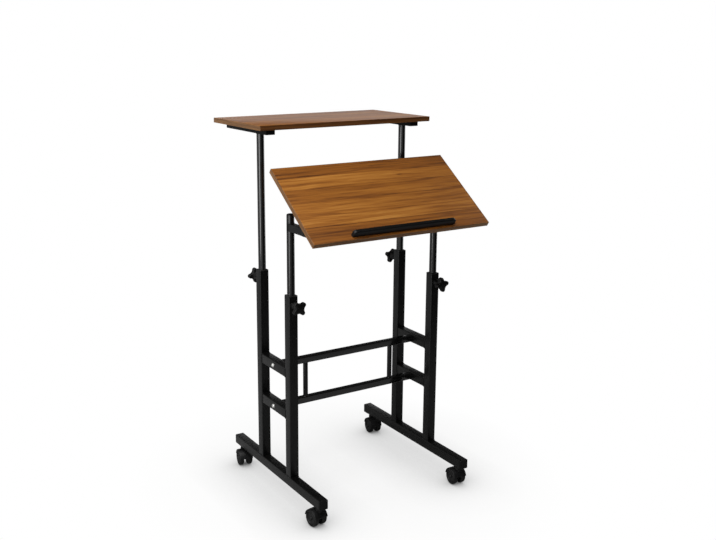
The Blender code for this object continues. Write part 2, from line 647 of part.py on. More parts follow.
def make_caster(place, location):
    """Twin-wheel caster about its swivel axis; the floor is z = 0 and the axle trails along +Y."""
    swivel = add_empty("caster_" + place, BASE, location, (0.0, 0.0, math.radians(CASTER_TURN[place])))
    axle = (CASTER_TRAIL, WHEEL_RADIUS)
    inner = WHEEL_RADIUS / math.cos(math.pi / FINE) + HOOD_PLAY
    outer = inner + HOOD_WALL
    inner_face = WEB / 2 + WEB_PLAY
    width = 2 * (inner_face + WHEEL_WIDTH)
    hood_outline = (arc(axle, outer, HOOD_START, HOOD_END, FINE // 2)
                    + arc(axle, inner, HOOD_END, HOOD_START, FINE // 2))
    name = "caster_hood_" + place
    hood = add_part(name, outline_mesh(name, (hood_outline,), width), HOOD_PLASTIC, swivel, (0.0, 0.0, 0.0),
                    OUTLINE_YZ)
    crown = WHEEL_RADIUS + outer
    web_outline = ([(-STEM_COLLAR, crown), (-STEM_COLLAR, axle[1] + inner / 2)]
                   + arc(axle, WEB_EYE, *WEB_WRAP, EYE_STEPS)
                   + arc(axle, inner + HOOD_WALL / 2, *WEB_ARCH, HOLLOW_STEPS) + [(STEM_COLLAR, crown)])
    web = outline_mesh(name + "_web", (web_outline,), WEB)
    fuse(hood, add_cutter(name + "_web", web, swivel, (0.0, 0.0, 0.0), OUTLINE_YZ))
    collar_top = CASTER_HEIGHT - GAP
    stem_top = CASTER_HEIGHT + TUBE - TUBE_WALL - STEM_PLAY
    stem_foot = crown - HOOD_WALL / 2
    stem_profile = [(0.0, stem_top), (STEM / 2, stem_top), (STEM / 2, collar_top), (STEM_COLLAR, collar_top),
                    (STEM_COLLAR, stem_foot), (0.0, stem_foot)]
    stem = add_cutter(name + "_stem", profile_mesh(name + "_stem", stem_profile), swivel, (0.0, 0.0, 0.0))
    turn(stem, FINE)
    fuse(hood, stem)
    pin_length = 2 * (inner_face + WHEEL_WIDTH - AXLE_COVER - GAP)
    pin = cylinder_mesh(name + "_axle", AXLE / 2, pin_length, MEDIUM)
    fuse(hood, add_cutter(name + "_axle", pin, swivel, (0.0, *axle), OUTLINE_YZ))
    outwards = math.copysign(1.0, location[0] * math.cos(math.radians(CASTER_TURN[place])))
    for across in (-1, 1):
        wheel_name = "caster_wheel_" + place + ("_outer" if across == outwards else "_inner")
        facing = Matrix.Rotation(across * math.pi / 2, 3, 'Y') @ Matrix.Rotation(math.pi / FINE, 3, 'Z')
        wheel = add_part(wheel_name, profile_mesh(wheel_name, make_wheel_profile()), WHEEL_PLASTIC, swivel,
                         (across * inner_face, *axle), facing.to_euler())
        turn(wheel, FINE)


def make_casters():
    for side, across in SIDES:
        for end, along in ENDS:
            make_caster(end + "_" + side, (across * POST_X, along * stem_y(), 0.0))


clear_scene()
PARTS = make_collection("mobile_standing_desk")
CUTTERS = make_collection("cutters")

PAINT = make_material("black_powder_coat", (0.012, 0.012, 0.012), 0.42, 0.0)
CAP_PLASTIC = make_material("black_cap_plastic", (0.010, 0.010, 0.010), 0.50, 0.0)
BUSH_PLASTIC = make_material("black_bush_plastic", (0.014, 0.014, 0.014), 0.45, 0.0)
KNOB_PLASTIC = make_material("black_knob_plastic", (0.010, 0.010, 0.010), 0.38, 0.0)
HOOD_PLASTIC = make_material("black_hood_plastic", (0.014, 0.014, 0.014), 0.45, 0.0)
WHEEL_PLASTIC = make_material("black_wheel_plastic", (0.018, 0.018, 0.018), 0.40, 0.0)
ZINC = make_material("zinc_plated_steel", (0.70, 0.70, 0.68), 0.30, 1.0)
LAMINATE = make_material("walnut_laminate", (0.30, 0.13, 0.045), 0.40, 0.0)

BASE = add_empty("base_frame", None, (0.0, LEG_Y, 0.0))
make_feet()
make_posts()
make_rungs()
make_struts()
make_height_knobs()
make_casters()
make_shelf_stage()
DESK_STAGE = make_desk_stage()
make_desktop(DESK_STAGE)
make_tilt_knobs(DESK_STAGE)
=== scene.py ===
"""Looks of the mobile standing desk: finishes, rounded skins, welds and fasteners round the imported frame."""
import json
import math

import bmesh
import bpy
from mathutils import Matrix, Vector


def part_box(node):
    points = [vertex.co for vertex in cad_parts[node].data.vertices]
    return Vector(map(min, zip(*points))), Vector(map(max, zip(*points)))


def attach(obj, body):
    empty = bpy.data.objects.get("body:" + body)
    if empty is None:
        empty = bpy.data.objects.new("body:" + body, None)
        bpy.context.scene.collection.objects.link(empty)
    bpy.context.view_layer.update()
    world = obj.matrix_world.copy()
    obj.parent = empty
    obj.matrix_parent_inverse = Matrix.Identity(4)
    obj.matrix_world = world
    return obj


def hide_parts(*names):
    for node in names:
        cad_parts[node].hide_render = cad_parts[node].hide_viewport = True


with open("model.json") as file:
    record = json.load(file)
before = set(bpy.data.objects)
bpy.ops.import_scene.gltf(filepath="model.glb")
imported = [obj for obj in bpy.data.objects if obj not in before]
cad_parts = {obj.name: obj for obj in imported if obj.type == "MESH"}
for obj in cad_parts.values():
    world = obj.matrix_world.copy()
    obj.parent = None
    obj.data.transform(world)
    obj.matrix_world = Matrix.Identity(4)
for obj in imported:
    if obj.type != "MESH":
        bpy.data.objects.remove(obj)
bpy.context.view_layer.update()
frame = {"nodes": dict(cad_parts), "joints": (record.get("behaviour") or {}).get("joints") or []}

# Camera at the photograph's angle, for a frame of 716 by 540; the shift is kept small for other views
CAMERA_PLACE = (-1.5387, -2.4108, 1.3983)
CAMERA_TURN = (77.501, 0.080, -30.743)  # degrees
CAMERA_LENS = 47.69
CAMERA_SHIFT = (0.0555, -0.0380)

# Tubes
TUBE_WALL = 0.0012
TUBE_CORNER = 0.0022       # outside corner radius of the square posts, feet and rungs
BAR_CORNER = 0.0018        # outside corner radius of the smaller bars
RIM = 0.0003               # rounding of a cut tube end
BEAD = 0.0015              # radius of a weld bead
BEAD_RIPPLE = 0.16         # how much a bead's thickness varies
BEAD_WAVE = 2.1            # how far the ripple turns from ring to ring, in radians
BEAD_STEP = 0.0022         # distance between the rings of a bead
NUT_BEAD = 0.0012          # radius of the bead round a nut
EMBED = 0.0004             # how far a skin reaches into the piece it is welded to

# Plastic fittings
BUSH_FLANGE = 0.003
BUSH_ROUNDING = 0.0009
BORE_PLAY = 0.0003
FOOT_CAP_FLANGE = 0.004
FOOT_CAP_ROUNDING = 0.0017
PLUG_FLANGE = 0.0018       # end plugs of the shelf bars and arms
PLUG_ROUNDING = 0.0008
CAP_DOME = (0.25, 0.5, 0.75, 1.0, 1.25, 1.45)  # angles of the rings on a desk tube's domed cap

# Knobs
KNOB_HEAD = 0.015
KNOB_NECK = 0.020
KNOB_LOBES = 4
KNOB_RING = 0.0169         # middle of the knob to the middle of a lobe
KNOB_LOBE = 0.0066         # radius of a lobe
KNOB_VALLEY = 0.0145       # middle of the knob to the hollow between two lobes
KNOB_EDGE = 0.0030         # rounding of the lobed head
KNOB_CROWN = 0.0009        # rise of the head's middle

# Neck of a knob: radius, and share of the neck's height
KNOB_NECK_PROFILE = ((0.0085, 0.0), (0.0091, 0.015), (0.0091, 0.12), (0.0085, 0.18), (0.0085, 0.40),
                     (0.0105, 0.72), (0.0125, 0.95), (0.0125, 1.0))

# Cap pressed into the knob's head: radius, and height above the head
KNOB_CAP_PROFILE = ((0.0078, 0.0), (0.0075, -0.0006), (0.0072, -0.0006), (0.0069, -0.00015),
                    (0.0039, 0.00015))

# How far each knob is turned, in degrees
KNOB_TURN = {
    "height_knob_front_left": 37.0,
    "height_knob_front_right": 10.5,
    "height_knob_rear_left": -5.6,
    "height_knob_rear_right": 23.7,
    "tilt_knob_left": 20.0,
    "tilt_knob_right": 20.0,
}

# Nuts and studs of the knobs
NUT_RADIUS = 0.0090
NUT_HEIGHT = 0.0060
NUT_CHAMFER = 0.0008
STUD = 0.008

# Boards
BAND = 0.0010              # thickness of the edge banding
BAND_ROUNDING = 0.00025
BOARD_ARRIS = 0.0004
BOARD_CORNER = 0.0003
STOP_CORNER = 0.009
STOP_ROUNDING = 0.0026

# Walnut print: where each plank starts across the board, from front to rear, and its tone
DESKTOP_PLANKS = ((-0.160, 0.43), (-0.088, 0.76), (-0.050, 0.65), (0.002, 0.53), (0.056, 0.71),
                  (0.103, 0.35))
SHELF_PLANKS = ((-0.160, 0.54), (-0.104, 0.67), (-0.031, 0.46), (0.047, 0.63), (0.112, 0.52))
PLAIN_PLANK = ((-0.160, 0.50),)
PLANK_SPAN = 0.160
SEAM = 0.0020              # half width of the dark line between two planks
DESKTOP_KNOT = (0.105, 0.083)
SHELF_KNOT = (-0.170, -0.064)
KNOT_SIZE = (0.014, 0.0035)

# Colours of the print, from dark to light, each with its tone
WALNUT = ((0.00, (0.075, 0.0215, 0.0024)), (0.30, (0.200, 0.0635, 0.0068)),
          (0.55, (0.288, 0.0995, 0.0115)), (0.75, (0.370, 0.1390, 0.0190)),
          (1.00, (0.480, 0.2070, 0.0390)))
# The edges share one band colour; these copies of it differ only as painted light and painted shade: the
# lightest stands for a lit side, the two darker ones for sides in shade
PAINTED_LIT_EDGE = ((0.20, (0.150, 0.0640, 0.0170)), (0.50, (0.245, 0.1130, 0.0340)),
             (0.80, (0.350, 0.1800, 0.0680)))
PAINTED_DIM_EDGE = ((0.20, (0.060, 0.0190, 0.0030)), (0.50, (0.110, 0.0390, 0.0070)),
              (0.80, (0.170, 0.0670, 0.0150)))
PAINTED_SHADED_EDGE = ((0.20, (0.040, 0.0170, 0.0060)), (0.50, (0.070, 0.0310, 0.0110)),
             (0.80, (0.110, 0.0510, 0.0190)))

# Grain of the print: how often each layer changes in a metre along and across the planks
WANDER_GRAIN = (2.5, 8.0, 8.0)
CURL_GRAIN = (7.0, 22.0, 22.0)
BROAD_GRAIN = (2.4, 34.0, 34.0)
FLAME_GRAIN = (4.6, 125.0, 125.0)
STREAK_GRAIN = (8.0, 380.0, 380.0)
FIBRE_GRAIN = (30.0, 1500.0, 1500.0)
WANDER = 0.0022            # sideways sway of the seams
CURL = 0.0020              # sideways sway of the grain between them
PLANK_JUMP = 3.7           # shift of the grain along X for a whole step of plank tone

# What each layer adds to the tone
BROAD_TONE = 0.16
DARK_FLAMES = (0.50, 0.70)
DARK_FLAME_TONE = -0.40
LIGHT_FLAMES = (0.28, 0.46)
LIGHT_FLAME_TONE = 0.19
STREAK_TONE = 0.15
FIBRE_TONE = 0.03
SEAM_TONE = -0.36
KNOT_TONE = -0.45

# Surface of the laminate
LAMINATE_ROUGHNESS = (0.54, 0.46)
LAMINATE_SPECULAR = 0.35
LAMINATE_COAT = 0.28
LAMINATE_COAT_ROUGHNESS = 0.22
FIBRE_RELIEF = 0.00006
FIBRE_STRENGTH = 0.30

# Paint, plastic and plating
DRIFT_SCALE = 22.0         # slow drift of colour
PATCH_SCALE = 160.0        # patches of more and less gloss
GRAIN_STRENGTH = 0.35
NOISE_SPAN = (0.3, 0.7)    # where most values of a noise lie

# Tilt brackets, bent from plate
PLATE = 0.003
BEND = 0.0035              # bend radius at the middle of the plate
BRACKET_EYE = 0.0120
BRACKET_TURNS = (25, 10, -5, -20, -35, -50, -65, -78, -87)  # where the eye is cut, in degrees
PLATE_ROUNDING = 0.0006

# Wood screws
SCREW_HEAD = 0.0042        # radius of the heads
SCREW_RISE = 0.0021
SCREW_SIDE = 0.25          # share of the rise below the dome
SCREW_DOME = (0.35, 0.7, 1.0)
SCREW_CROSS = (0.0021, 0.000546)  # reach and half width of the cross recess
SCREW_CROSS_FLOOR = 0.2    # share of the rise below the recess
BRACKET_SCREWS = (-0.022, 0.022)
BAR_SCREWS = (-0.095, 0.0, 0.095)

# Frame bolts
BOLT_HEAD = 0.00575
BOLT_RISE = 0.0034
BOLT_SIDE = 0.22           # share of the rise below the dome
BOLT_DOME = (0.3, 0.6, 0.85, 1.05)
BOLT_SOCKET = 0.0021
SOCKET_MOUTH = 1.06        # how much wider the socket's mouth is
SOCKET_DEPTH = 0.6         # share of the rise
WASHER = 0.0066
WASHER_RISE = 0.0008

# Casters, about the swivel axis; the axle trails along +Y
HOOD_WALL = 0.0024
HOOD_PLAY = 0.0012
HOOD_START = 8.0           # degrees round the axle
HOOD_END = 168.0
HOOD_LIP = 1.0             # rounding of the hood's two ends, in degrees
HOOD_DROP = 0.0014         # how far the hood's sides fall below its middle
HOOD_CORNER = 0.0011
WEB_PLAY = 0.0006
WEB_EYE = 0.0088
WEB_EYE_SPAN = (200.0, 340.0)
WEB_ARCH_SPAN = (50.0, 85.0)
WEB_ROUNDING = 0.0012
STEM_COLLAR = 0.0085
STEM_FLARE = 0.0009        # how much wider the collar is where it meets the hood
STEM_GROOVE = 0.0007
TREAD_ROUNDING = 0.0052
TYRE_ROOT = 0.0196         # radius where the tyre sits on the wheel

# Wheel inside its tyre: radius, and depth below its outer face or height over its inner one
WHEEL_OUTSIDE = ((0.0012, 0.0002), (0.0036, 0.0004), (0.0046, 0.0014), (0.0050, 0.0030), (0.0118, 0.0034),
                 (0.0150, 0.0026), (0.0160, 0.0010), (0.0172, 0.0004), (0.0182, 0.0012), (TYRE_ROOT, 0.0014))
WHEEL_INSIDE = ((TYRE_ROOT, 0.0014), (0.0170, 0.0010), (0.0036, 0.0010))

# Floor
FLOOR_CORNERS = ((-4.0, -1.8), (4.0, -1.8), (4.0, 5.0), (-4.0, 5.0))
FLOOR_ROUGHNESS = 0.9
FLOOR_SPECULAR = 0.1
FLOOR_WHITE = (0.94, 0.94, 0.93)
FLOOR_BOUNCE = (0.35, 0.35, 0.35)
FLOOR_REACH = 0.20         # how far off a piece still darkens the floor with painted shade
FLOOR_SAMPLES = 16
FLOOR_FADE = (0.20, 0.70)  # distance from the middle over which the lamps' own shadows fade out
FLOOR_LIFT = 0.82          # share of the white glow, with its painted shade, in the middle
FLOOR_BESIDE = (-0.15, -0.6)  # where the floor on the left begins to show in gloss, and shows in full
FLOOR_SHEEN = 0.24

# Studio: the directions between which each side begins and is full
STUDIO_LEFT = (0.05, -0.45)
STUDIO_BEHIND = (0.1, 0.5)
STUDIO_RIGHT = (-0.10, 0.20)
STUDIO_LOW = (0.18, 0.10)
STUDIO_LEFT_LIGHT = 0.25
STUDIO_DIM = 0.03          # light from the studio's unlit side
WHITE = (1.0, 1.0, 1.0, 1.0)

# Softboxes: place, the point that they face, width and height, watts
SOFTBOXES = {
    "overhead": ((-1.3, -0.9, 3.2), (0.0, 0.0, 0.6), (2.6, 2.6), 84.0),
    "left_strip": ((-2.8, -1.1, 1.2), (0.0, 0.0, 0.7), (1.1, 2.4), 34.0),
    "right_strip": ((2.8, 0.6, 1.1), (0.0, 0.0, 0.6), (1.4, 2.2), 20.0),
}

# Facets
ROUND = 48
CORNER_STEPS = 5
RIM_STEPS = 4
BEAD_SIDES = 8
LOBE_STEPS = 12
HOLLOW_STEPS = 6
BUSH_SIDE_STEPS = 5
ARM_SIDE_STEPS = 6
HOOD_SIDE_STEPS = 10
WEB_EYE_STEPS = 12
WEB_ARCH_STEPS = 4
SHARP_EDGE = math.radians(38)
LEAST_RADIUS = 0.0001

# Frames whose +Z lies along an axis
ALONG_X = Matrix(((0, 0, 1), (1, 0, 0), (0, 1, 0))).to_4x4()
ALONG_Y = Matrix(((1, 0, 0), (0, 0, -1), (0, 1, 0))).to_4x4()
ALONG_Z = Matrix.Identity(4)
UPSIDE_DOWN = Matrix.Rotation(math.pi, 4, 'X')

SIDES = (("left", -1), ("right", 1))
ENDS = (("front", -1), ("rear", 1))
JOINTS = {joint["name"]: joint for joint in frame["joints"]}


# Outlines

def arc(centre, radius, start, end, steps):
    """Points on an arc, from start to end in degrees."""
    points = []
    for step in range(steps + 1):
        angle = math.radians(start + (end - start) * step / steps)
        points.append((centre[0] + radius * math.cos(angle), centre[1] + radius * math.sin(angle)))
    return points


def circle(radius, steps=ROUND):
    return arc((0.0, 0.0), radius, 0.0, 360.0, steps)[:-1]


def rounded_rectangle(width, height, radius, side_steps=1):
    """Counter-clockwise outline about the origin; side_steps adds points along the straight sides."""
    corners = []
    for across, up, start in ((1, 1, 0.0), (-1, 1, 90.0), (-1, -1, 180.0), (1, -1, 270.0)):
        centre = (across * (width / 2 - radius), up * (height / 2 - radius))
        corners.append(arc(centre, radius, start, start + 90.0, CORNER_STEPS))
    points = []
    for index, corner in enumerate(corners):
        points += corner
        begin, end = Vector(corner[-1]), Vector(corners[(index + 1) % 4][0])
        points += [tuple(begin.lerp(end, step / side_steps)) for step in range(1, side_steps)]
    return points


def rectangle_family(width, height, radius, side_steps=1):
    """A rounded rectangle as a function of how far it is inset."""
    def outline_at(inset):
        corner = max(radius - inset, LEAST_RADIUS)
        return rounded_rectangle(width - 2 * inset, height - 2 * inset, corner, side_steps)
    return outline_at


def circle_family(radius):
    def outline_at(inset):
        return circle(radius - inset)
    return outline_at


def lobed_family():
    """Round lobes and the hollows that run into them, as a function of how far the outline is inset."""
    half = math.pi / KNOB_LOBES
    lean = KNOB_RING * math.cos(half)
    hollow = ((KNOB_VALLEY ** 2 - 2 * KNOB_VALLEY * lean + KNOB_RING ** 2 - KNOB_LOBE ** 2)
              / (2 * (KNOB_LOBE + lean - KNOB_VALLEY)))
    hollow_ring = KNOB_VALLEY + hollow
    wrap = math.degrees(math.atan2(hollow_ring * math.sin(half), hollow_ring * math.cos(half) - KNOB_RING))

    def outline_at(inset):
        points = []
        for lobe in range(KNOB_LOBES):
            angle = 2 * half * lobe
            turned = math.degrees(angle)
            lobe_centre = (KNOB_RING * math.cos(angle), KNOB_RING * math.sin(angle))
            hollow_centre = (hollow_ring * math.cos(angle + half), hollow_ring * math.sin(angle + half))
            points += arc(lobe_centre, KNOB_LOBE - inset, turned - wrap, turned + wrap, LOBE_STEPS)
            points += arc(hollow_centre, hollow + inset, turned + 180.0 + wrap,
                          turned + 180.0 + 2 * math.degrees(half) - wrap, HOLLOW_STEPS)[1:-1]
        return points
    return outline_at


def radial(outline, radius):
    """A circle with one point in the direction of each point of the outline."""
    points = []
    for across, up in outline:
        angle = math.atan2(up, across)
        points.append((radius * math.cos(angle), radius * math.sin(angle)))
    return points


def dense(outline, spacing):
    """The closed outline with points at most a spacing apart."""
    points = []
    for index, point in enumerate(outline):
        begin, end = Vector(point), Vector(outline[(index + 1) % len(outline)])
        steps = max(1, round((end - begin).length / spacing))
        points += [tuple(begin.lerp(end, step / steps)) for step in range(steps)]
    return points


# Rings and skins

def level(outline, height):
    return [(across, up, height) for across, up in outline]


def rim(outline_at, height, rounding, rise):
    """Rings that round a rim at height: rise is 1 for an underside, and -1 for a top, which they close."""
    rings = []
    for step in range(RIM_STEPS + 1):
        angle = math.pi / 2 * step / RIM_STEPS
        outline = outline_at(rounding * (1 - math.sin(angle)))
        rings.append(level(outline, height + rise * rounding * (1 - math.cos(angle))))
    return rings[::rise]


def block_rings(outline_at, low, high, rounding):
    return rim(outline_at, low, rounding, 1) + rim(outline_at, high, rounding, -1)


def tube_rings(outline_at, low, high):
    """Rings of an open tube, up the outside and down the bore; they close on themselves."""
    bore = outline_at(TUBE_WALL)
    return block_rings(outline_at, low, high, RIM) + [level(bore, high), level(bore, low)]


def turned_rings(profile):
    return [level(circle(radius), height) for radius, height in profile]


def domed_profile(radius, seat, rise, side, turns):
    """Top of a turned head over its seat: a straight side for a share of its rise, then a dome."""
    profile = [(radius, seat + rise * side)]
    for turn in turns:
        profile.append((radius * math.cos(turn), seat + rise * (side + (1 - side) * math.sin(turn))))
    return profile


def skin(name, rings, closed=False):
    """Mesh over rings of equal point counts, capped at both ends unless it closes on itself."""
    shape = bmesh.new()
    loops = [[shape.verts.new(point) for point in ring] for ring in rings]
    pairs = list(zip(loops, loops[1:]))
    if closed:
        pairs.append((loops[-1], loops[0]))
    for lower, upper in pairs:
        for index in range(len(lower)):
            after = (index + 1) % len(lower)
            shape.faces.new((lower[index], lower[after], upper[after], upper[index]))
    if not closed:
        shape.faces.new(reversed(loops[0]))
        shape.faces.new(loops[-1])
    bmesh.ops.recalc_face_normals(shape, faces=shape.faces)
    mesh = bpy.data.meshes.new(name)
    shape.to_mesh(mesh)
    shape.free()
    mesh.shade_smooth()
    mesh.set_sharp_from_angle(angle=SHARP_EDGE)
    return mesh


def bead_rings(path, radius):
    """Rings of a weld bead round a closed path of 3D points, with a rippled thickness."""
    rings = []
    upwards = Vector((0.0, 0.0, 1.0))
    for index, point in enumerate(path):
        tangent = (Vector(path[(index + 1) % len(path)]) - Vector(path[index - 1])).normalized()
        outwards = tangent.cross(upwards).normalized()
        section = circle(radius * (1 + BEAD_RIPPLE * math.sin(BEAD_WAVE * index)), BEAD_SIDES)
        rings.append([Vector(point) + outwards * across + upwards * up for across, up in section])
    return rings


# Placing pieces

def node_box(node, matrix):
    """Lowest and highest corner of a CAD node, in the frame that the matrix places."""
    inverse = matrix.inverted()
    points = [inverse @ vertex.co for vertex in frame["nodes"][node].data.vertices]
    low = Vector([min(point[axis] for point in points) for axis in range(3)])
    high = Vector([max(point[axis] for point in points) for axis in range(3)])
    return low, high


def joint_frame(joint, rotation):
    return Matrix.Translation(JOINTS[joint]["pos_m"]) @ rotation


def facing(axis):
    """Rotation that carries +Z onto an axis."""
    return Vector((0.0, 0.0, 1.0)).rotation_difference(Vector(axis)).to_matrix().to_4x4()


def new_object(name, data):
    thing = bpy.data.objects.new(name, data)
    bpy.context.scene.collection.objects.link(thing)
    return thing


def add_piece(name, mesh, finish, matrix, body, nodes=()):
    """Put a piece where the matrix says, on a body; nodes are the CAD nodes that it stands for."""
    material, slot = finish
    piece = new_object(name, mesh)
    piece.matrix_world = matrix
    if not mesh.materials:
        mesh.materials.append(material)
    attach(piece, body)
    if nodes:
        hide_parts(*nodes)


def add_skin(name, rings, finish, matrix, body, nodes=(), closed=False):
    add_piece(name, skin(name, rings, closed), finish, matrix, body, nodes)


def add_bead(name, path, radius, matrix, body):
    add_skin(name, bead_rings(path, radius), PAINT, matrix, body, closed=True)


# Materials

def start_material(name):
    material = bpy.data.materials.new(name)
    material.use_nodes = True
    return material, material.node_tree, material.node_tree.nodes["Principled BSDF"]


def add_node(tree, kind, **settings):
    node = tree.nodes.new(kind)
    for key, value in settings.items():
        setattr(node, key, value)
    return node


def object_place(tree):
    return add_node(tree, "ShaderNodeTexCoord").outputs["Object"]


def axes(tree, vector):
    """The X, Y and Z of a vector."""
    parts = add_node(tree, "ShaderNodeSeparateXYZ")
    tree.links.new(vector, parts.inputs["Vector"])
    return parts.outputs


def stretched(tree, vector, scale, shift):
    mapping = add_node(tree, "ShaderNodeMapping")
    mapping.inputs["Scale"].default_value = scale
    mapping.inputs["Location"].default_value = shift
    tree.links.new(vector, mapping.inputs["Vector"])
    return mapping.outputs["Vector"]


def noise(tree, vector, scale=1.0, detail=2.0, roughness=0.5):
    node = add_node(tree, "ShaderNodeTexNoise")
    node.inputs["Scale"].default_value = scale
    node.inputs["Detail"].default_value = detail
    node.inputs["Roughness"].default_value = roughness
    tree.links.new(vector, node.inputs["Vector"])
    return node.outputs["Fac"]


def remap(tree, value, low, high, to_low, to_high):
    node = add_node(tree, "ShaderNodeMapRange")
    for name, number in (("From Min", low), ("From Max", high), ("To Min", to_low), ("To Max", to_high)):
        node.inputs[name].default_value = number
    tree.links.new(value, node.inputs["Value"])
    return node.outputs["Result"]


def math_node(tree, operation, first, second):
    """Two sockets, or a socket and a number, combined."""
    node = add_node(tree, "ShaderNodeMath", operation=operation)
    for socket, value in zip(node.inputs, (first, second)):
        if isinstance(value, (int, float)):
            socket.default_value = value
        else:
            tree.links.new(value, socket)
    return node.outputs["Value"]


def colour_ramp(tree, value, stops, interpolation='LINEAR'):
    node = add_node(tree, "ShaderNodeValToRGB")
    node.color_ramp.interpolation = interpolation
    elements = node.color_ramp.elements
    while len(elements) < len(stops):
        elements.new(0.5)
    while len(elements) > len(stops):
        elements.remove(elements[-1])
    for element, (place, colour) in zip(elements, stops):
        element.position = place
        element.color = (*colour, 1.0)
    tree.links.new(value, node.inputs["Fac"])
    return node.outputs["Color"]


def add_bump(tree, shader, height, distance, strength):
    bump = add_node(tree, "ShaderNodeBump")
    bump.inputs["Distance"].default_value = distance
    bump.inputs["Strength"].default_value = strength
    tree.links.new(height, bump.inputs["Height"])
    tree.links.new(bump.outputs["Normal"], shader.inputs["Normal"])


def grey(value):
    return (value, value, value)


def surface_finish(name, slot, dark, light, roughness, grain, depth, metallic=0.0, specular=0.5):
    """A made surface with its slot: slow drift of colour, patches of roughness, a fine grain in relief."""
    material, tree, shader = start_material(name)
    vector = object_place(tree)
    drift = noise(tree, vector, DRIFT_SCALE, detail=3.0)
    patches = noise(tree, vector, PATCH_SCALE, detail=3.0, roughness=0.6)
    shades = colour_ramp(tree, drift, list(zip(NOISE_SPAN, (dark, light))))
    tree.links.new(shades, shader.inputs["Base Color"])
    tree.links.new(remap(tree, patches, *NOISE_SPAN, *roughness), shader.inputs["Roughness"])
    shader.inputs["Metallic"].default_value = metallic
    shader.inputs["Specular IOR Level"].default_value = specular
    add_bump(tree, shader, noise(tree, vector, grain), depth, GRAIN_STRENGTH)
    return material, slot


def plank_pattern(tree, across, planks):
    """Tone of the plank at a place across the board, and how near that place is to a seam."""
    spread = remap(tree, across, -PLANK_SPAN, PLANK_SPAN, 0.0, 1.0)
    stops = [((start + PLANK_SPAN) / (2 * PLANK_SPAN), grey(tone)) for start, tone in planks]
    tones = colour_ramp(tree, spread, stops, 'CONSTANT')
    nearest = None
    for start, _ in planks:
        distance = math_node(tree, "ABSOLUTE", math_node(tree, "SUBTRACT", across, start), 0.0)
        nearest = distance if nearest is None else math_node(tree, "MINIMUM", nearest, distance)
    return tones, remap(tree, nearest, 0.0, SEAM, 1.0, 0.0)


def knot_pattern(tree, along, across, knot):
    """A small oval, 1 in its middle and 0 outside."""
    sides = []
    for value, middle, size in zip((along, across), knot, KNOT_SIZE):
        offset = math_node(tree, "DIVIDE", math_node(tree, "SUBTRACT", value, middle), size)
        sides.append(math_node(tree, "MULTIPLY", offset, offset))
    return remap(tree, math_node(tree, "ADD", *sides), 0.0, 1.0, 1.0, 0.0)


def laminate_finish(name, shift, planks, shades, knot=None):
    """Walnut-look laminate with its slot: planks along X, each with its own flames, streaks and fibres."""
    material, tree, shader = start_material(name)
    vector = object_place(tree)
    x, y, z = axes(tree, vector)
    wander = noise(tree, stretched(tree, vector, WANDER_GRAIN, shift))
    across = math_node(tree, "ADD", y, remap(tree, wander, *NOISE_SPAN, -WANDER, WANDER))
    tones, seam = plank_pattern(tree, across, planks)
    curl = noise(tree, stretched(tree, vector, CURL_GRAIN, shift))
    curled = math_node(tree, "ADD", across, remap(tree, curl, *NOISE_SPAN, -CURL, CURL))
    along = math_node(tree, "ADD", x, math_node(tree, "MULTIPLY", tones, PLANK_JUMP))
    laid = add_node(tree, "ShaderNodeCombineXYZ")
    for socket, value in zip(laid.inputs, (along, curled, z)):
        tree.links.new(value, socket)

    def layer(scale, **character):
        return noise(tree, stretched(tree, laid.outputs["Vector"], scale, shift), **character)

    broad = layer(BROAD_GRAIN)
    flames = layer(FLAME_GRAIN, detail=3.0, roughness=0.6)
    streaks = layer(STREAK_GRAIN, detail=3.0, roughness=0.6)
    fibres = layer(FIBRE_GRAIN)
    shares = [
        remap(tree, broad, *NOISE_SPAN, -BROAD_TONE, BROAD_TONE),
        remap(tree, flames, *DARK_FLAMES, 0.0, DARK_FLAME_TONE),
        remap(tree, flames, *LIGHT_FLAMES, LIGHT_FLAME_TONE, 0.0),
        remap(tree, streaks, *NOISE_SPAN, -STREAK_TONE, STREAK_TONE),
        remap(tree, fibres, *NOISE_SPAN, -FIBRE_TONE, FIBRE_TONE),
        math_node(tree, "MULTIPLY", seam, SEAM_TONE),
    ]
    if knot:
        spot = knot_pattern(tree, x, curled, knot)
        shares.append(math_node(tree, "MULTIPLY", spot, KNOT_TONE))
    tone = tones
    for share in shares:
        tone = math_node(tree, "ADD", tone, share)
    tree.links.new(colour_ramp(tree, tone, shades), shader.inputs["Base Color"])
    tree.links.new(remap(tree, streaks, *NOISE_SPAN, *LAMINATE_ROUGHNESS), shader.inputs["Roughness"])
    shader.inputs["Specular IOR Level"].default_value = LAMINATE_SPECULAR
    shader.inputs["Coat Weight"].default_value = LAMINATE_COAT
    shader.inputs["Coat Roughness"].default_value = LAMINATE_COAT_ROUGHNESS
    add_bump(tree, shader, fibres, FIBRE_RELIEF, FIBRE_STRENGTH)
    return material, "walnut_laminate"


GLOSS_PAINT = surface_finish("gloss_paint", "black_powder_coat", grey(0.0035), grey(0.0055), (0.10, 0.11),
                             300.0, 0.00001, specular=0.85)
SATIN_PAINT = surface_finish("satin_paint", "black_powder_coat", grey(0.0035), grey(0.0055), (0.19, 0.24),
                             900.0, 0.00003, specular=0.55)
PAINT = surface_finish("powder_coat", "black_powder_coat", grey(0.0016), (0.0030, 0.0030, 0.0029),
                       (0.30, 0.40), 1500.0, 0.00008, specular=0.35)
MATT_PAINT = surface_finish("matt_paint", "black_powder_coat", grey(0.0022), grey(0.0036), (0.42, 0.52),
                            1500.0, 0.00008, specular=0.12)
CAP_PLASTIC = surface_finish("cap_plastic", "black_cap_plastic", (0.0033, 0.0033, 0.0034),
                             (0.0055, 0.0055, 0.0057), (0.44, 0.56), 2600.0, 0.00006, specular=0.18)
BUSH_PLASTIC = surface_finish("bush_plastic", "black_bush_plastic", grey(0.0070), grey(0.0110), (0.40, 0.52),
                              2600.0, 0.00005)
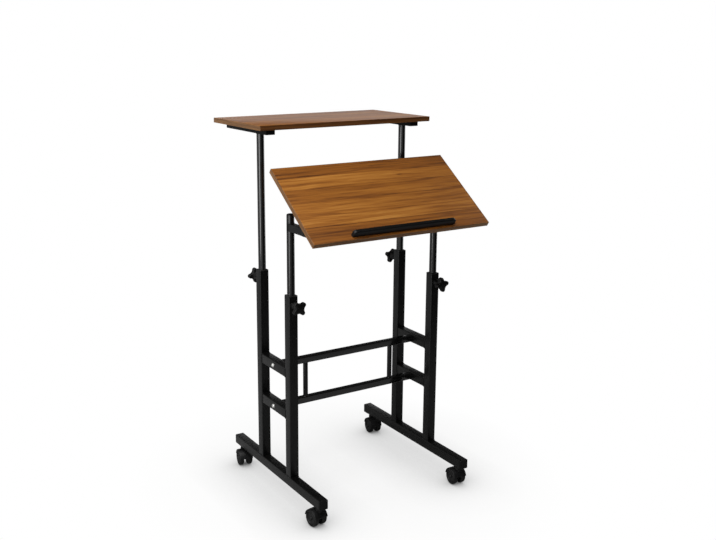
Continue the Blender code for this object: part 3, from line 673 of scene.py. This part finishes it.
KNOB_PLASTIC = surface_finish("knob_plastic", "black_knob_plastic", grey(0.0026), grey(0.0044), (0.34, 0.46),
                              2200.0, 0.00007, specular=0.25)
HOOD_PLASTIC = surface_finish("hood_plastic", "black_hood_plastic", (0.0040, 0.0040, 0.0042),
                              (0.0066, 0.0066, 0.0068), (0.40, 0.52), 2400.0, 0.00006, specular=0.3)
WHEEL_PLASTIC = surface_finish("wheel_plastic", "black_wheel_plastic", grey(0.0046), grey(0.0074),
                               (0.36, 0.48), 2000.0, 0.00006, specular=0.3)
TYRE_PLASTIC = surface_finish("tyre_plastic", "black_wheel_plastic", (0.0042, 0.0042, 0.0041),
                              (0.0070, 0.0070, 0.0067), (0.52, 0.68), 1200.0, 0.00010, specular=0.3)
ZINC = surface_finish("zinc_plating", "zinc_plated_steel", (0.78, 0.78, 0.76), (0.92, 0.92, 0.90),
                      (0.38, 0.48), 1800.0, 0.00005, metallic=1.0)
DESKTOP_LAMINATE = laminate_finish("desktop_laminate", (14.48, 23.506, 0.0), DESKTOP_PLANKS, WALNUT,
                                   DESKTOP_KNOT)
SHELF_LAMINATE = laminate_finish("shelf_laminate", (1.91, 2.345, 0.3), SHELF_PLANKS, WALNUT, SHELF_KNOT)
# Edge bands in a lit copy and two shaded copies of one band colour, as painted light and painted shade
PAINTED_LIT_BANDING = laminate_finish("painted_lit_banding", (0.83, 1.127, 0.6), PLAIN_PLANK, PAINTED_LIT_EDGE)
PAINTED_DIM_BANDING = laminate_finish("front_banding", (1.43, 0.827, 0.2), PLAIN_PLANK, PAINTED_DIM_EDGE)
PAINTED_SHADED_BANDING = laminate_finish("painted_shaded_banding", (2.13, 0.527, 0.9), PLAIN_PLANK, PAINTED_SHADED_EDGE)

# The pale band is painted light on the lit left sides and on the desktop's front, where it stands for light
# thrown up from the floor; the other bands are painted shade on the shelf's front and on the rear and right
# sides
SHELF_BANDING = {"front": PAINTED_DIM_BANDING, "rear": PAINTED_SHADED_BANDING, "left": PAINTED_LIT_BANDING, "right": PAINTED_SHADED_BANDING}
DESKTOP_BANDING = {"front": PAINTED_LIT_BANDING, "rear": PAINTED_SHADED_BANDING, "left": PAINTED_LIT_BANDING, "right": PAINTED_SHADED_BANDING}


# Tubes

def straight_tube(node, along, corner, finish, body):
    """Rounded box tube in place of a CAD tube that lies along one axis."""
    low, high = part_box(node)
    middle = (low + high) / 2
    spans = along.to_3x3().transposed() @ (high - low)
    width, height, length = (abs(span) for span in spans)
    rings = tube_rings(rectangle_family(width, height, corner), -length / 2, length / 2)
    add_skin(node + "_skin", rings, finish, Matrix.Translation(middle) @ along, body, (node,), closed=True)


def end_bead(name, width, height, place, along):
    """Weld bead round the end of a post or rung."""
    path = level(dense(rounded_rectangle(width, height, TUBE_CORNER), BEAD_STEP), 0.0)
    add_bead(name, path, BEAD, Matrix.Translation(place) @ along, "base_frame")


def round_tube(node, finish, body):
    low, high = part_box(node)
    middle = (low + high) / 2
    half = (high.z - low.z) / 2
    rings = tube_rings(circle_family((high.x - low.x) / 2), -half, half)
    add_skin(node + "_skin", rings, finish, Matrix.Translation(middle), body, (node,), closed=True)


def make_feet(tube):
    for side, _ in SIDES:
        straight_tube("foot_tube_" + side, ALONG_Y, TUBE_CORNER, PAINT, "base_frame")
        for end, along in ENDS:
            node = f"foot_cap_{end}_{side}"
            low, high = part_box(node)
            outer = high.y if along > 0 else low.y
            middle = Vector(((low.x + high.x) / 2, outer, (low.z + high.z) / 2))
            family = rectangle_family(tube, tube, TUBE_CORNER)
            rings = block_rings(family, 0.0, FOOT_CAP_FLANGE, FOOT_CAP_ROUNDING)
            matrix = Matrix.Translation(middle) @ (ALONG_Y if along > 0 else ALONG_Y @ UPSIDE_DOWN)
            add_skin(node + "_skin", rings, CAP_PLASTIC, matrix, "base_frame", (node,))


def make_posts(tube):
    for side, _ in SIDES:
        for end, along in ENDS:
            place = f"{end}_{side}"
            low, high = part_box("post_" + place)
            plain_face = low.y if along > 0 else high.y
            middle = Vector(((low.x + high.x) / 2, plain_face + along * tube / 2, (low.z + high.z) / 2))
            half = (high.z - low.z) / 2
            rings = tube_rings(rectangle_family(tube, tube, TUBE_CORNER), -half, half)
            add_skin("post_skin_" + place, rings, PAINT, Matrix.Translation(middle), "base_frame",
                     ("post_" + place,), closed=True)
            end_bead("post_weld_" + place, tube, tube, (middle.x, middle.y, low.z), ALONG_Z)
            make_bush("post_bush_" + place, tube)


def make_bush(node, tube):
    """Square plastic flange on the post, with a chamfered round bore for the inner tube."""
    low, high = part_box(node)
    inner = "desk_tube_" if "front" in node else "riser_tube_"
    tube_low, tube_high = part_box(inner + node.split("_")[-1])
    bore = (tube_high.x - tube_low.x) / 2 + BORE_PLAY
    family = rectangle_family(tube, tube, TUBE_CORNER, BUSH_SIDE_STEPS)
    rings = block_rings(family, -BUSH_FLANGE, 0.0, BUSH_ROUNDING)
    hole = radial(family(0.0), bore)
    rings += [level(radial(hole, bore + RIM), 0.0), level(hole, -RIM), level(hole, -BUSH_FLANGE)]
    place = Matrix.Translation(((low.x + high.x) / 2, (low.y + high.y) / 2, high.z))
    add_skin(node + "_skin", rings, BUSH_PLASTIC, place, "base_frame", (node,), closed=True)


def make_rungs():
    for tier in ("upper", "lower"):
        straight_tube("crossbar_" + tier, ALONG_X, BAR_CORNER, GLOSS_PAINT, "base_frame")
        for side, across in SIDES:
            node = f"rung_{tier}_{side}"
            straight_tube(node, ALONG_Y, TUBE_CORNER, PAINT, "base_frame")
            low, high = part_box(node)
            x, z = (low.x + high.x) / 2, (low.z + high.z) / 2
            for end, y in (("front", low.y), ("rear", high.y)):
                end_bead(f"rung_weld_{tier}_{end}_{side}", high.x - low.x, high.z - low.z, (x, y, z), ALONG_Y)
            make_bolt(f"frame_bolt_{tier}_{side}", across, high.x if across > 0 else low.x)


def socket_outline(radius):
    """Hexagon with as many points as a turned ring."""
    points = []
    for across, up in circle(1.0):
        angle = math.atan2(up, across)
        flat = math.cos((angle + math.pi / 6) % (math.pi / 3) - math.pi / 6)
        points.append((radius * across / flat, radius * up / flat))
    return points


def make_bolt(node, across, face):
    """Button-head bolt with a hexagon socket, on a washer against the rung's outer face."""
    low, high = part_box(node)
    place = (face, (low.y + high.y) / 2, (low.z + high.z) / 2)
    matrix = Matrix.Translation(place) @ facing((across, 0.0, 0.0))
    washer = block_rings(circle_family(WASHER), 0.0, WASHER_RISE, RIM)
    add_skin(node + "_washer", washer, ZINC, matrix, "base_frame")
    profile = [(BOLT_HEAD, WASHER_RISE)]
    profile += domed_profile(BOLT_HEAD, WASHER_RISE, BOLT_RISE, BOLT_SIDE, BOLT_DOME)
    top = profile[-1][1]
    rings = turned_rings(profile) + [level(socket_outline(BOLT_SOCKET * SOCKET_MOUTH), top)]
    rings += [level(socket_outline(BOLT_SOCKET), top - depth) for depth in (RIM, BOLT_RISE * SOCKET_DEPTH)]
    add_skin(node + "_skin", rings, ZINC, matrix, "base_frame", (node,))


def make_struts():
    for side, _ in SIDES:
        node = "strut_" + side
        round_tube(node, PAINT, "base_frame")
        ring_beads(node, "base_frame", ("foot", "head"))


def ring_beads(node, body, which):
    """Weld beads round the foot or head of an upright round tube."""
    low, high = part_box(node)
    radius = (high.x - low.x) / 2
    path = level(dense(circle(radius), BEAD_STEP), 0.0)
    for label, z in (("foot", low.z), ("head", high.z)):
        if label in which:
            place = Matrix.Translation(((low.x + high.x) / 2, (low.y + high.y) / 2, z))
            add_bead(node + "_weld_" + label, path, BEAD, place, body)


# Knobs

def make_nut(name, place, axis, body):
    """Round weld nut with the bead that holds it."""
    matrix = Matrix.Translation(place) @ facing(axis)
    rings = block_rings(circle_family(NUT_RADIUS), -EMBED, NUT_HEIGHT, NUT_CHAMFER)
    add_skin(name, rings, PAINT, matrix, body)
    add_bead(name + "_weld", level(dense(circle(NUT_RADIUS), BEAD_STEP), 0.0), NUT_BEAD, matrix, body)


def make_knob(node):
    """Lobed head with a pressed-in cap, on a waisted neck."""
    joint = node + "_turn"
    matrix = joint_frame(joint, facing(JOINTS[joint]["axis"]))
    top = node_box(node, matrix)[1].z
    matrix = matrix @ Matrix.Rotation(math.radians(KNOB_TURN[node]), 4, 'Z')
    family = lobed_family()
    under = top - KNOB_HEAD
    foot = under - KNOB_NECK
    outline = family(0.0)
    rings = [level(radial(outline, radius), foot + KNOB_NECK * share) for radius, share in KNOB_NECK_PROFILE]
    rings += block_rings(family, under, top - KNOB_CROWN, KNOB_EDGE)
    rings += [level(radial(outline, radius), top + rise) for radius, rise in KNOB_CAP_PROFILE]
    add_skin(node + "_skin", rings, KNOB_PLASTIC, matrix, node, (node,))
    return matrix, foot


def make_height_knobs():
    for side, _ in SIDES:
        for end, along in ENDS:
            node = f"height_knob_{end}_{side}"
            matrix, foot = make_knob(node)
            make_nut(f"knob_nut_{end}_{side}", matrix @ Vector((0.0, 0.0, foot - NUT_HEIGHT)),
                     (0.0, along, 0.0), "base_frame")


# Boards

def make_board(node, matrix, finish, banding, body):
    """Laminate panel with its edges banded; the grain runs along X, and along each band."""
    low, high = node_box(node, matrix)
    middle, size = (low + high) / 2, high - low
    family = rectangle_family(size.x - 2 * BAND, size.y - 2 * BAND, BOARD_CORNER)
    rings = block_rings(family, -size.z / 2, size.z / 2, BOARD_ARRIS)
    centre = matrix @ Matrix.Translation(middle)
    add_skin(node + "_panel", rings, finish, centre, body, (node,))
    for label, along, turn in (("front", -1, 0.0), ("rear", 1, 0.0), ("left", -1, 90.0), ("right", 1, 90.0)):
        straight = label in ("front", "rear")
        length = size.x if straight else size.y - 2 * BAND
        offset = (size.y if straight else size.x) / 2 - BAND / 2
        band = rectangle_family(length, size.z - 2 * RIM, LEAST_RADIUS)
        shift = Vector((0.0, along * offset, 0.0)) if straight else Vector((along * offset, 0.0, 0.0))
        place = centre @ Matrix.Translation(shift) @ Matrix.Rotation(math.radians(turn), 4, 'Z') @ ALONG_Y
        strip = block_rings(band, -BAND / 2, BAND / 2, BAND_ROUNDING)
        # each band carries the painted light or painted shade of its side
        add_skin(node + "_band_" + label, strip, banding[label], place, body)


def make_stop_rail(matrix):
    low, high = node_box("stop_rail", matrix)
    width, depth, height = high - low

    def rail_at(inset):
        top = rounded_rectangle(width - 2 * inset, 2 * (height - inset), STOP_CORNER)
        half = [point for point in top if point[1] > 0.0]
        return half + [(-width / 2 + inset, inset), (width / 2 - inset, inset)]

    rings = block_rings(rail_at, -depth / 2, depth / 2, STOP_ROUNDING)
    place = matrix @ Matrix.Translation((0.0, (low.y + high.y) / 2, low.z)) @ ALONG_Y
    add_skin("stop_rail_skin", rings, KNOB_PLASTIC, place, "desktop", ("stop_rail",))


# Fasteners

def cross_outline(reach, width):
    """Cross recess with as many points as a turned ring."""
    points = []
    for across, up in circle(1.0):
        arm = max(abs(across), abs(up))
        thin = min(abs(across), abs(up))
        radius = min(reach / arm, max(width / max(thin, LEAST_RADIUS), width * math.sqrt(2)))
        points.append((radius * across, radius * up))
    return points


def screw_mesh():
    """Pan head with a cross recess."""
    profile = [(SCREW_HEAD, -EMBED)]
    profile += domed_profile(SCREW_HEAD, 0.0, SCREW_RISE, SCREW_SIDE, SCREW_DOME)
    recess = cross_outline(*SCREW_CROSS)
    floor = level(recess, SCREW_RISE * SCREW_CROSS_FLOOR)
    return skin("pan_head_screw", turned_rings(profile) + [level(recess, profile[-1][1]), floor])


SCREW = screw_mesh()


def add_screw(name, place, body):
    """Screw head at a place whose +Z points out of the surface."""
    add_piece(name, SCREW, ZINC, place, body)


# Upper stage

def end_plug(name, width, height, place, turn, body):
    """Plastic plug in the end of a shelf bar or arm."""
    rings = block_rings(rectangle_family(width, height, BAR_CORNER), 0.0, PLUG_FLANGE, PLUG_ROUNDING)
    add_skin(name, rings, CAP_PLASTIC, Matrix.Translation(place) @ turn, body)


def make_shelf_stage():
    for side, _ in SIDES:
        round_tube("riser_tube_" + side, GLOSS_PAINT, "shelf_stage")
        ring_beads("riser_tube_" + side, "shelf_stage", ("head",))
        node = "shelf_bar_" + side
        straight_tube(node, ALONG_Y, BAR_CORNER, MATT_PAINT, "shelf_stage")
        low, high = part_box(node)
        middle = (low + high) / 2
        for label, y, turn in (("front", low.y, ALONG_Y), ("rear", high.y, ALONG_Y @ UPSIDE_DOWN)):
            end_plug(f"shelf_bar_plug_{label}_{side}", high.x - low.x, high.z - low.z,
                     (middle.x, y, middle.z), turn, "shelf_stage")
        for index, offset in enumerate(BAR_SCREWS):
            place = Matrix.Translation((middle.x, middle.y + offset, low.z)) @ UPSIDE_DOWN
            add_screw(f"shelf_screw_{side}_{index + 1}", place, "shelf_stage")
    make_board("upper_shelf", ALONG_Z, SHELF_LAMINATE, SHELF_BANDING, "shelf_stage")


# Front stage

def make_arm(side, across, pivot):
    """Box arm coped onto the desk tube, with a plug in its tip and a nut at the pivot."""
    node = "desk_arm_" + side
    low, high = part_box(node)
    tube_low, tube_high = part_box("desk_tube_" + side)
    axis = (tube_low + tube_high) / 2
    radius = (tube_high.x - tube_low.x) / 2
    width = 2 * min(axis.x - low.x, high.x - axis.x)
    height = high.z - low.z
    reach = axis.y - low.y
    family = rectangle_family(width, height, BAR_CORNER, ARM_SIDE_STEPS)
    cope = [(u, v, math.sqrt(radius ** 2 - u ** 2)) for u, v in family(0.0)]
    rings = [[(u, v, z - EMBED) for u, v, z in cope]]
    rings += rim(family, reach - PLUG_FLANGE, RIM, -1)
    matrix = Matrix.Translation((axis.x, axis.y, (low.z + high.z) / 2)) @ ALONG_Y
    add_skin(node + "_skin", rings, PAINT, matrix, "desk_stage", (node,))
    add_bead(node + "_weld", cope, BEAD, matrix, "desk_stage")
    tip = (axis.x, low.y + PLUG_FLANGE, (low.z + high.z) / 2)
    end_plug("desk_arm_plug_" + side, width, height, tip, ALONG_Y, "desk_stage")
    face = Vector((axis.x + across * width / 2, pivot.y, pivot.z))
    make_nut("tilt_nut_" + side, face, (across, 0.0, 0.0), "desk_stage")
    stud = block_rings(circle_family(STUD / 2), NUT_HEIGHT - EMBED, NUT_HEIGHT + 2 * RIM, RIM)
    place = Matrix.Translation(face) @ facing((across, 0.0, 0.0))
    add_skin("tilt_stud_end_" + side, stud, PAINT, place, "tilt_knob_" + side)


def make_desk_stage(pivot):
    for side, across in SIDES:
        round_tube("desk_tube_" + side, SATIN_PAINT, "desk_stage")
        make_arm(side, across, pivot)
        make_tube_cap("tube_cap_" + side, "desk_tube_" + side)
        make_knob("tilt_knob_" + side)


def make_tube_cap(node, tube):
    """Domed plastic plug in the top of a desk tube."""
    low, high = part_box(node)
    tube_low, tube_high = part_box(tube)
    radius = (tube_high.x - tube_low.x) / 2
    rise = high.z - tube_high.z
    profile = [(radius - RIM, 0.0)] + domed_profile(radius, RIM, rise - RIM, 0.0, CAP_DOME)
    place = Matrix.Translation(((low.x + high.x) / 2, (low.y + high.y) / 2, tube_high.z))
    add_skin(node + "_skin", turned_rings(profile), CAP_PLASTIC, place, "desk_stage", (node,))


def make_bracket(side, across, matrix):
    """Bent plate as one strip: along the board, round the bend, and down to the eye at the pivot."""
    node = "tilt_bracket_" + side
    low, high = node_box(node, matrix)
    outer = max(abs(low.x), abs(high.x)) - PLATE / 2
    inner = min(abs(low.x), abs(high.x))
    seat = high.z - PLATE / 2
    half = (high.y - low.y) / 2
    stations = [(inner, seat, 0.0, half), (outer - BEND, seat, 0.0, half)]
    for step in range(1, RIM_STEPS + 1):
        turn = math.pi / 2 * step / RIM_STEPS
        x = outer - BEND + BEND * math.sin(turn)
        stations.append((x, seat - BEND + BEND * math.cos(turn), turn, half))
    for degrees in BRACKET_TURNS:
        turn = math.radians(degrees)
        stations.append((outer, BRACKET_EYE * math.sin(turn), math.pi / 2, BRACKET_EYE * math.cos(turn)))
    rings = []
    for x, z, turn, reach in stations:
        section = rounded_rectangle(2 * reach, PLATE, min(PLATE_ROUNDING, reach / 2))
        rings.append([(across * (x + v * math.sin(turn)), u, z + v * math.cos(turn)) for u, v in section])
    add_skin(node + "_skin", rings, PAINT, matrix, "desktop", (node,))
    for index, offset in enumerate(BRACKET_SCREWS):
        place = Matrix.Translation((across * (inner + outer) / 2, offset, seat - PLATE / 2)) @ UPSIDE_DOWN
        add_screw(f"bracket_screw_{side}_{index + 1}", matrix @ place, "desktop")


def make_desktop():
    tilt = -math.radians(JOINTS["desktop_tilt"]["range_deg"][0])
    matrix = joint_frame("desktop_tilt", Matrix.Rotation(tilt, 4, 'X'))
    make_board("desktop_board", matrix, DESKTOP_LAMINATE, DESKTOP_BANDING, "desktop")
    make_stop_rail(matrix)
    for side, across in SIDES:
        make_bracket(side, across, matrix)


# Casters

def caster_frame(place):
    """Swivel frame on the floor, with the axle along local X."""
    axle = JOINTS[f"caster_wheel_{place}_outer_roll"]["axis"]
    turn = math.atan2(axle[1], axle[0])
    return joint_frame(f"caster_{place}_swivel", Matrix.Rotation(turn, 4, 'Z'))


def make_hood(place, matrix, centre, inner_face, foot_under):
    """Arched hood over both wheels, a spine between them and the swivel collar."""
    node = "caster_hood_" + place
    body = "caster_" + place
    low, high = node_box(node, matrix)
    width = high.x - low.x
    inner = centre.z + HOOD_PLAY
    outer = inner + HOOD_WALL
    section_at = rectangle_family(width, HOOD_WALL, HOOD_CORNER, HOOD_SIDE_STEPS)
    turns = [HOOD_START + (HOOD_END - HOOD_START) * step / ROUND for step in range(ROUND + 1)]
    stations = [(HOOD_START - HOOD_LIP, RIM)] + [(turn, 0.0) for turn in turns] + [(HOOD_END + HOOD_LIP, RIM)]
    rings = []
    for turn, inset in stations:
        angle = math.radians(turn)
        ring = []
        for x, rise in section_at(inset):
            radius = (inner + outer) / 2 + rise - HOOD_DROP * (2 * x / width) ** 2
            ring.append((x, centre.y + radius * math.cos(angle), centre.z + radius * math.sin(angle)))
        rings.append(ring)
    add_skin(node + "_skin", rings, HOOD_PLASTIC, matrix, body, (node,))

    crown = centre.z + outer
    web = 2 * (inner_face - WEB_PLAY)

    def spine_at(inset):
        eye = arc((centre.y, centre.z), WEB_EYE - inset, *WEB_EYE_SPAN, WEB_EYE_STEPS)
        arch = arc((centre.y, centre.z), inner + HOOD_WALL / 2 - inset, *WEB_ARCH_SPAN, WEB_ARCH_STEPS)
        reach = STEM_COLLAR - inset
        lead = [(-reach, crown - inset), (-reach, centre.z + inner / 2)]
        return lead + eye + arch + [(reach, crown - inset)]

    spine = block_rings(spine_at, -web / 2, web / 2, WEB_ROUNDING)
    add_skin(node + "_spine", spine, HOOD_PLASTIC, matrix @ ALONG_X, body)
    groove = (crown + foot_under) / 2
    flare = STEM_COLLAR + STEM_FLARE
    profile = [(flare, crown - HOOD_WALL), (flare, crown + RIM), (STEM_COLLAR, crown + RIM + STEM_FLARE),
               (STEM_COLLAR, groove - STEM_GROOVE), (STEM_COLLAR - STEM_GROOVE, groove),
               (STEM_COLLAR, groove + STEM_GROOVE), (STEM_COLLAR, foot_under - 2 * RIM),
               (STEM_COLLAR - RIM, foot_under - RIM)]
    add_skin(node + "_collar", turned_rings(profile), HOOD_PLASTIC, matrix, body)


def tyre_rings(radius, width):
    """Rounded tyre round the wheel; heights run outwards along the axle."""
    shoulder = radius - TREAD_ROUNDING
    profile = [(TYRE_ROOT, RIM), (shoulder, 0.0)]
    profile += arc((shoulder, TREAD_ROUNDING), TREAD_ROUNDING, -90.0, 0.0, CORNER_STEPS)[1:]
    profile += arc((shoulder, width - TREAD_ROUNDING), TREAD_ROUNDING, 0.0, 90.0, CORNER_STEPS)
    profile += [(TYRE_ROOT, width - RIM)]
    return turned_rings(profile)


def wheel_rings(width):
    """Wheel inside its tyre: hub button, dished face with a raised ring, plain inner face."""
    face = width - 2 * RIM
    return turned_rings([(radius, face - depth) for radius, depth in WHEEL_OUTSIDE] + list(WHEEL_INSIDE))


def make_caster(place, foot_under):
    matrix = caster_frame(place)
    inverse = matrix.inverted()
    grips = {}
    for label in ("inner", "outer"):
        wheel = f"caster_wheel_{place}_{label}"
        grips[wheel] = inverse @ Vector(JOINTS[wheel + "_roll"]["pos_m"])
    centre = Vector((0.0, grips[wheel].y, grips[wheel].z))
    inner_face = abs(grips[wheel].x)
    make_hood(place, matrix, centre, inner_face, foot_under)
    for wheel, grip in grips.items():
        low, high = node_box(wheel, matrix)
        width = high.x - low.x
        outwards = math.copysign(1.0, grip.x)
        spot = matrix @ Matrix.Translation(grip) @ facing((outwards, 0.0, 0.0))
        tyre = tyre_rings(centre.z, width)
        add_skin(wheel + "_tyre", tyre, TYRE_PLASTIC, spot, wheel, (wheel,), closed=True)
        add_skin(wheel + "_disc", wheel_rings(width), WHEEL_PLASTIC, spot, wheel)


def make_casters():
    foot_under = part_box("foot_tube_left")[0].z
    for side, _ in SIDES:
        for end, _ in ENDS:
            make_caster(f"{end}_{side}", foot_under)


# Studio

def ray_kinds(tree):
    """Whether a ray comes from the camera, and whether something glossy or clear sent it on."""
    path = add_node(tree, "ShaderNodeLightPath")
    mirrored = math_node(tree, "MAXIMUM", path.outputs["Is Glossy Ray"], path.outputs["Is Transmission Ray"])
    return path.outputs["Is Camera Ray"], mirrored


def mix_shaders(tree, share, first, second, output):
    mix = add_node(tree, "ShaderNodeMixShader")
    for socket, value in zip(mix.inputs, (share, first, second)):
        tree.links.new(value, socket)
    tree.links.new(mix.outputs["Shader"], tree.nodes[output].inputs["Surface"])


def make_floor():
    """Pale floor that glows white, with painted shade where pieces stand over it; the lamps' own shadows show
    faintly.
    """
    mesh = bpy.data.meshes.new("floor")
    mesh.from_pydata(level(FLOOR_CORNERS, 0.0), [], [list(range(len(FLOOR_CORNERS)))])
    floor = new_object("floor", mesh)

    material, tree, shader = start_material("floor_white")
    shader.inputs["Roughness"].default_value = FLOOR_ROUGHNESS
    shader.inputs["Specular IOR Level"].default_value = FLOOR_SPECULAR
    glow = add_node(tree, "ShaderNodeEmission")
    glow.inputs["Color"].default_value = WHITE
    # Painted shade: the glow dims by ambient occlusion near the pieces that stand over the floor
    occlusion = add_node(tree, "ShaderNodeAmbientOcclusion", samples=FLOOR_SAMPLES)
    occlusion.inputs["Distance"].default_value = FLOOR_REACH
    tree.links.new(occlusion.outputs["AO"], glow.inputs["Strength"])
    vector = object_place(tree)
    length = add_node(tree, "ShaderNodeVectorMath", operation='LENGTH')
    tree.links.new(vector, length.inputs[0])
    far = remap(tree, length.outputs["Value"], *FLOOR_FADE, FLOOR_LIFT, 1.0)
    beside = remap(tree, axes(tree, vector)["X"], *FLOOR_BESIDE, 0.0, FLOOR_SHEEN)
    camera, mirrored = ray_kinds(tree)
    seen = math_node(tree, "MULTIPLY", camera, far)
    lit = math_node(tree, "MULTIPLY", mirrored, beside)
    paint = colour_ramp(tree, camera, ((0.0, FLOOR_BOUNCE), (1.0, FLOOR_WHITE)))
    tree.links.new(paint, shader.inputs["Base Color"])
    mix_shaders(tree, math_node(tree, "MAXIMUM", seen, lit), shader.outputs["BSDF"], glow.outputs["Emission"],
                "Material Output")
    mesh.materials.append(material)


def make_world():
    """White for the camera; a studio that is bright on the left and low behind, and dim elsewhere."""
    world = bpy.data.worlds.new("studio")
    bpy.context.scene.world = world
    world.use_nodes = True
    tree = world.node_tree
    studio = tree.nodes["Background"]
    studio.inputs["Color"].default_value = WHITE
    white = add_node(tree, "ShaderNodeBackground")
    white.inputs["Color"].default_value = WHITE
    white.inputs["Strength"].default_value = 1.0
    x, y, z = axes(tree, add_node(tree, "ShaderNodeTexCoord").outputs["Generated"])
    left = remap(tree, x, *STUDIO_LEFT, 0.0, STUDIO_LEFT_LIGHT)
    behind = remap(tree, y, *STUDIO_BEHIND, 0.0, 1.0)
    right = remap(tree, x, *STUDIO_RIGHT, 0.0, 1.0)
    low = remap(tree, z, *STUDIO_LOW, 0.0, 1.0)
    back_right = math_node(tree, "MULTIPLY", low, math_node(tree, "MULTIPLY", behind, right))
    backdrop = math_node(tree, "MAXIMUM", left, back_right)
    tree.links.new(remap(tree, backdrop, 0.0, 1.0, STUDIO_DIM, 1.0), studio.inputs["Strength"])
    camera, mirrored = ray_kinds(tree)
    shown = math_node(tree, "MULTIPLY", mirrored, backdrop)
    mix_shaders(tree, math_node(tree, "MAXIMUM", camera, shown), studio.outputs["Background"],
                white.outputs["Background"], "World Output")


def add_softbox(name, place, target, size, watts):
    light = bpy.data.lights.new(name, 'AREA')
    light.shape = 'RECTANGLE'
    light.size, light.size_y = size
    light.energy = watts
    box = new_object(name, light)
    box.location = place
    box.rotation_euler = (Vector(target) - Vector(place)).to_track_quat('-Z', 'Y').to_euler()
    box.visible_camera = False


def make_camera():
    data = bpy.data.cameras.new("photo_camera")
    data.lens = CAMERA_LENS
    data.shift_x, data.shift_y = CAMERA_SHIFT
    camera = new_object("photo_camera", data)
    camera.location = CAMERA_PLACE
    camera.rotation_euler = [math.radians(angle) for angle in CAMERA_TURN]
    bpy.context.scene.camera = camera


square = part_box("foot_tube_left")[1].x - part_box("foot_tube_left")[0].x
make_feet(square)
make_posts(square)
make_rungs()
make_struts()
make_height_knobs()
make_shelf_stage()
make_desk_stage(Vector(JOINTS["desktop_tilt"]["pos_m"]))
make_desktop()
make_casters()

make_floor()
make_world()
for name, softbox in SOFTBOXES.items():
    add_softbox(name, *softbox)
make_camera()
bpy.context.scene.view_settings.view_transform = 'Standard'
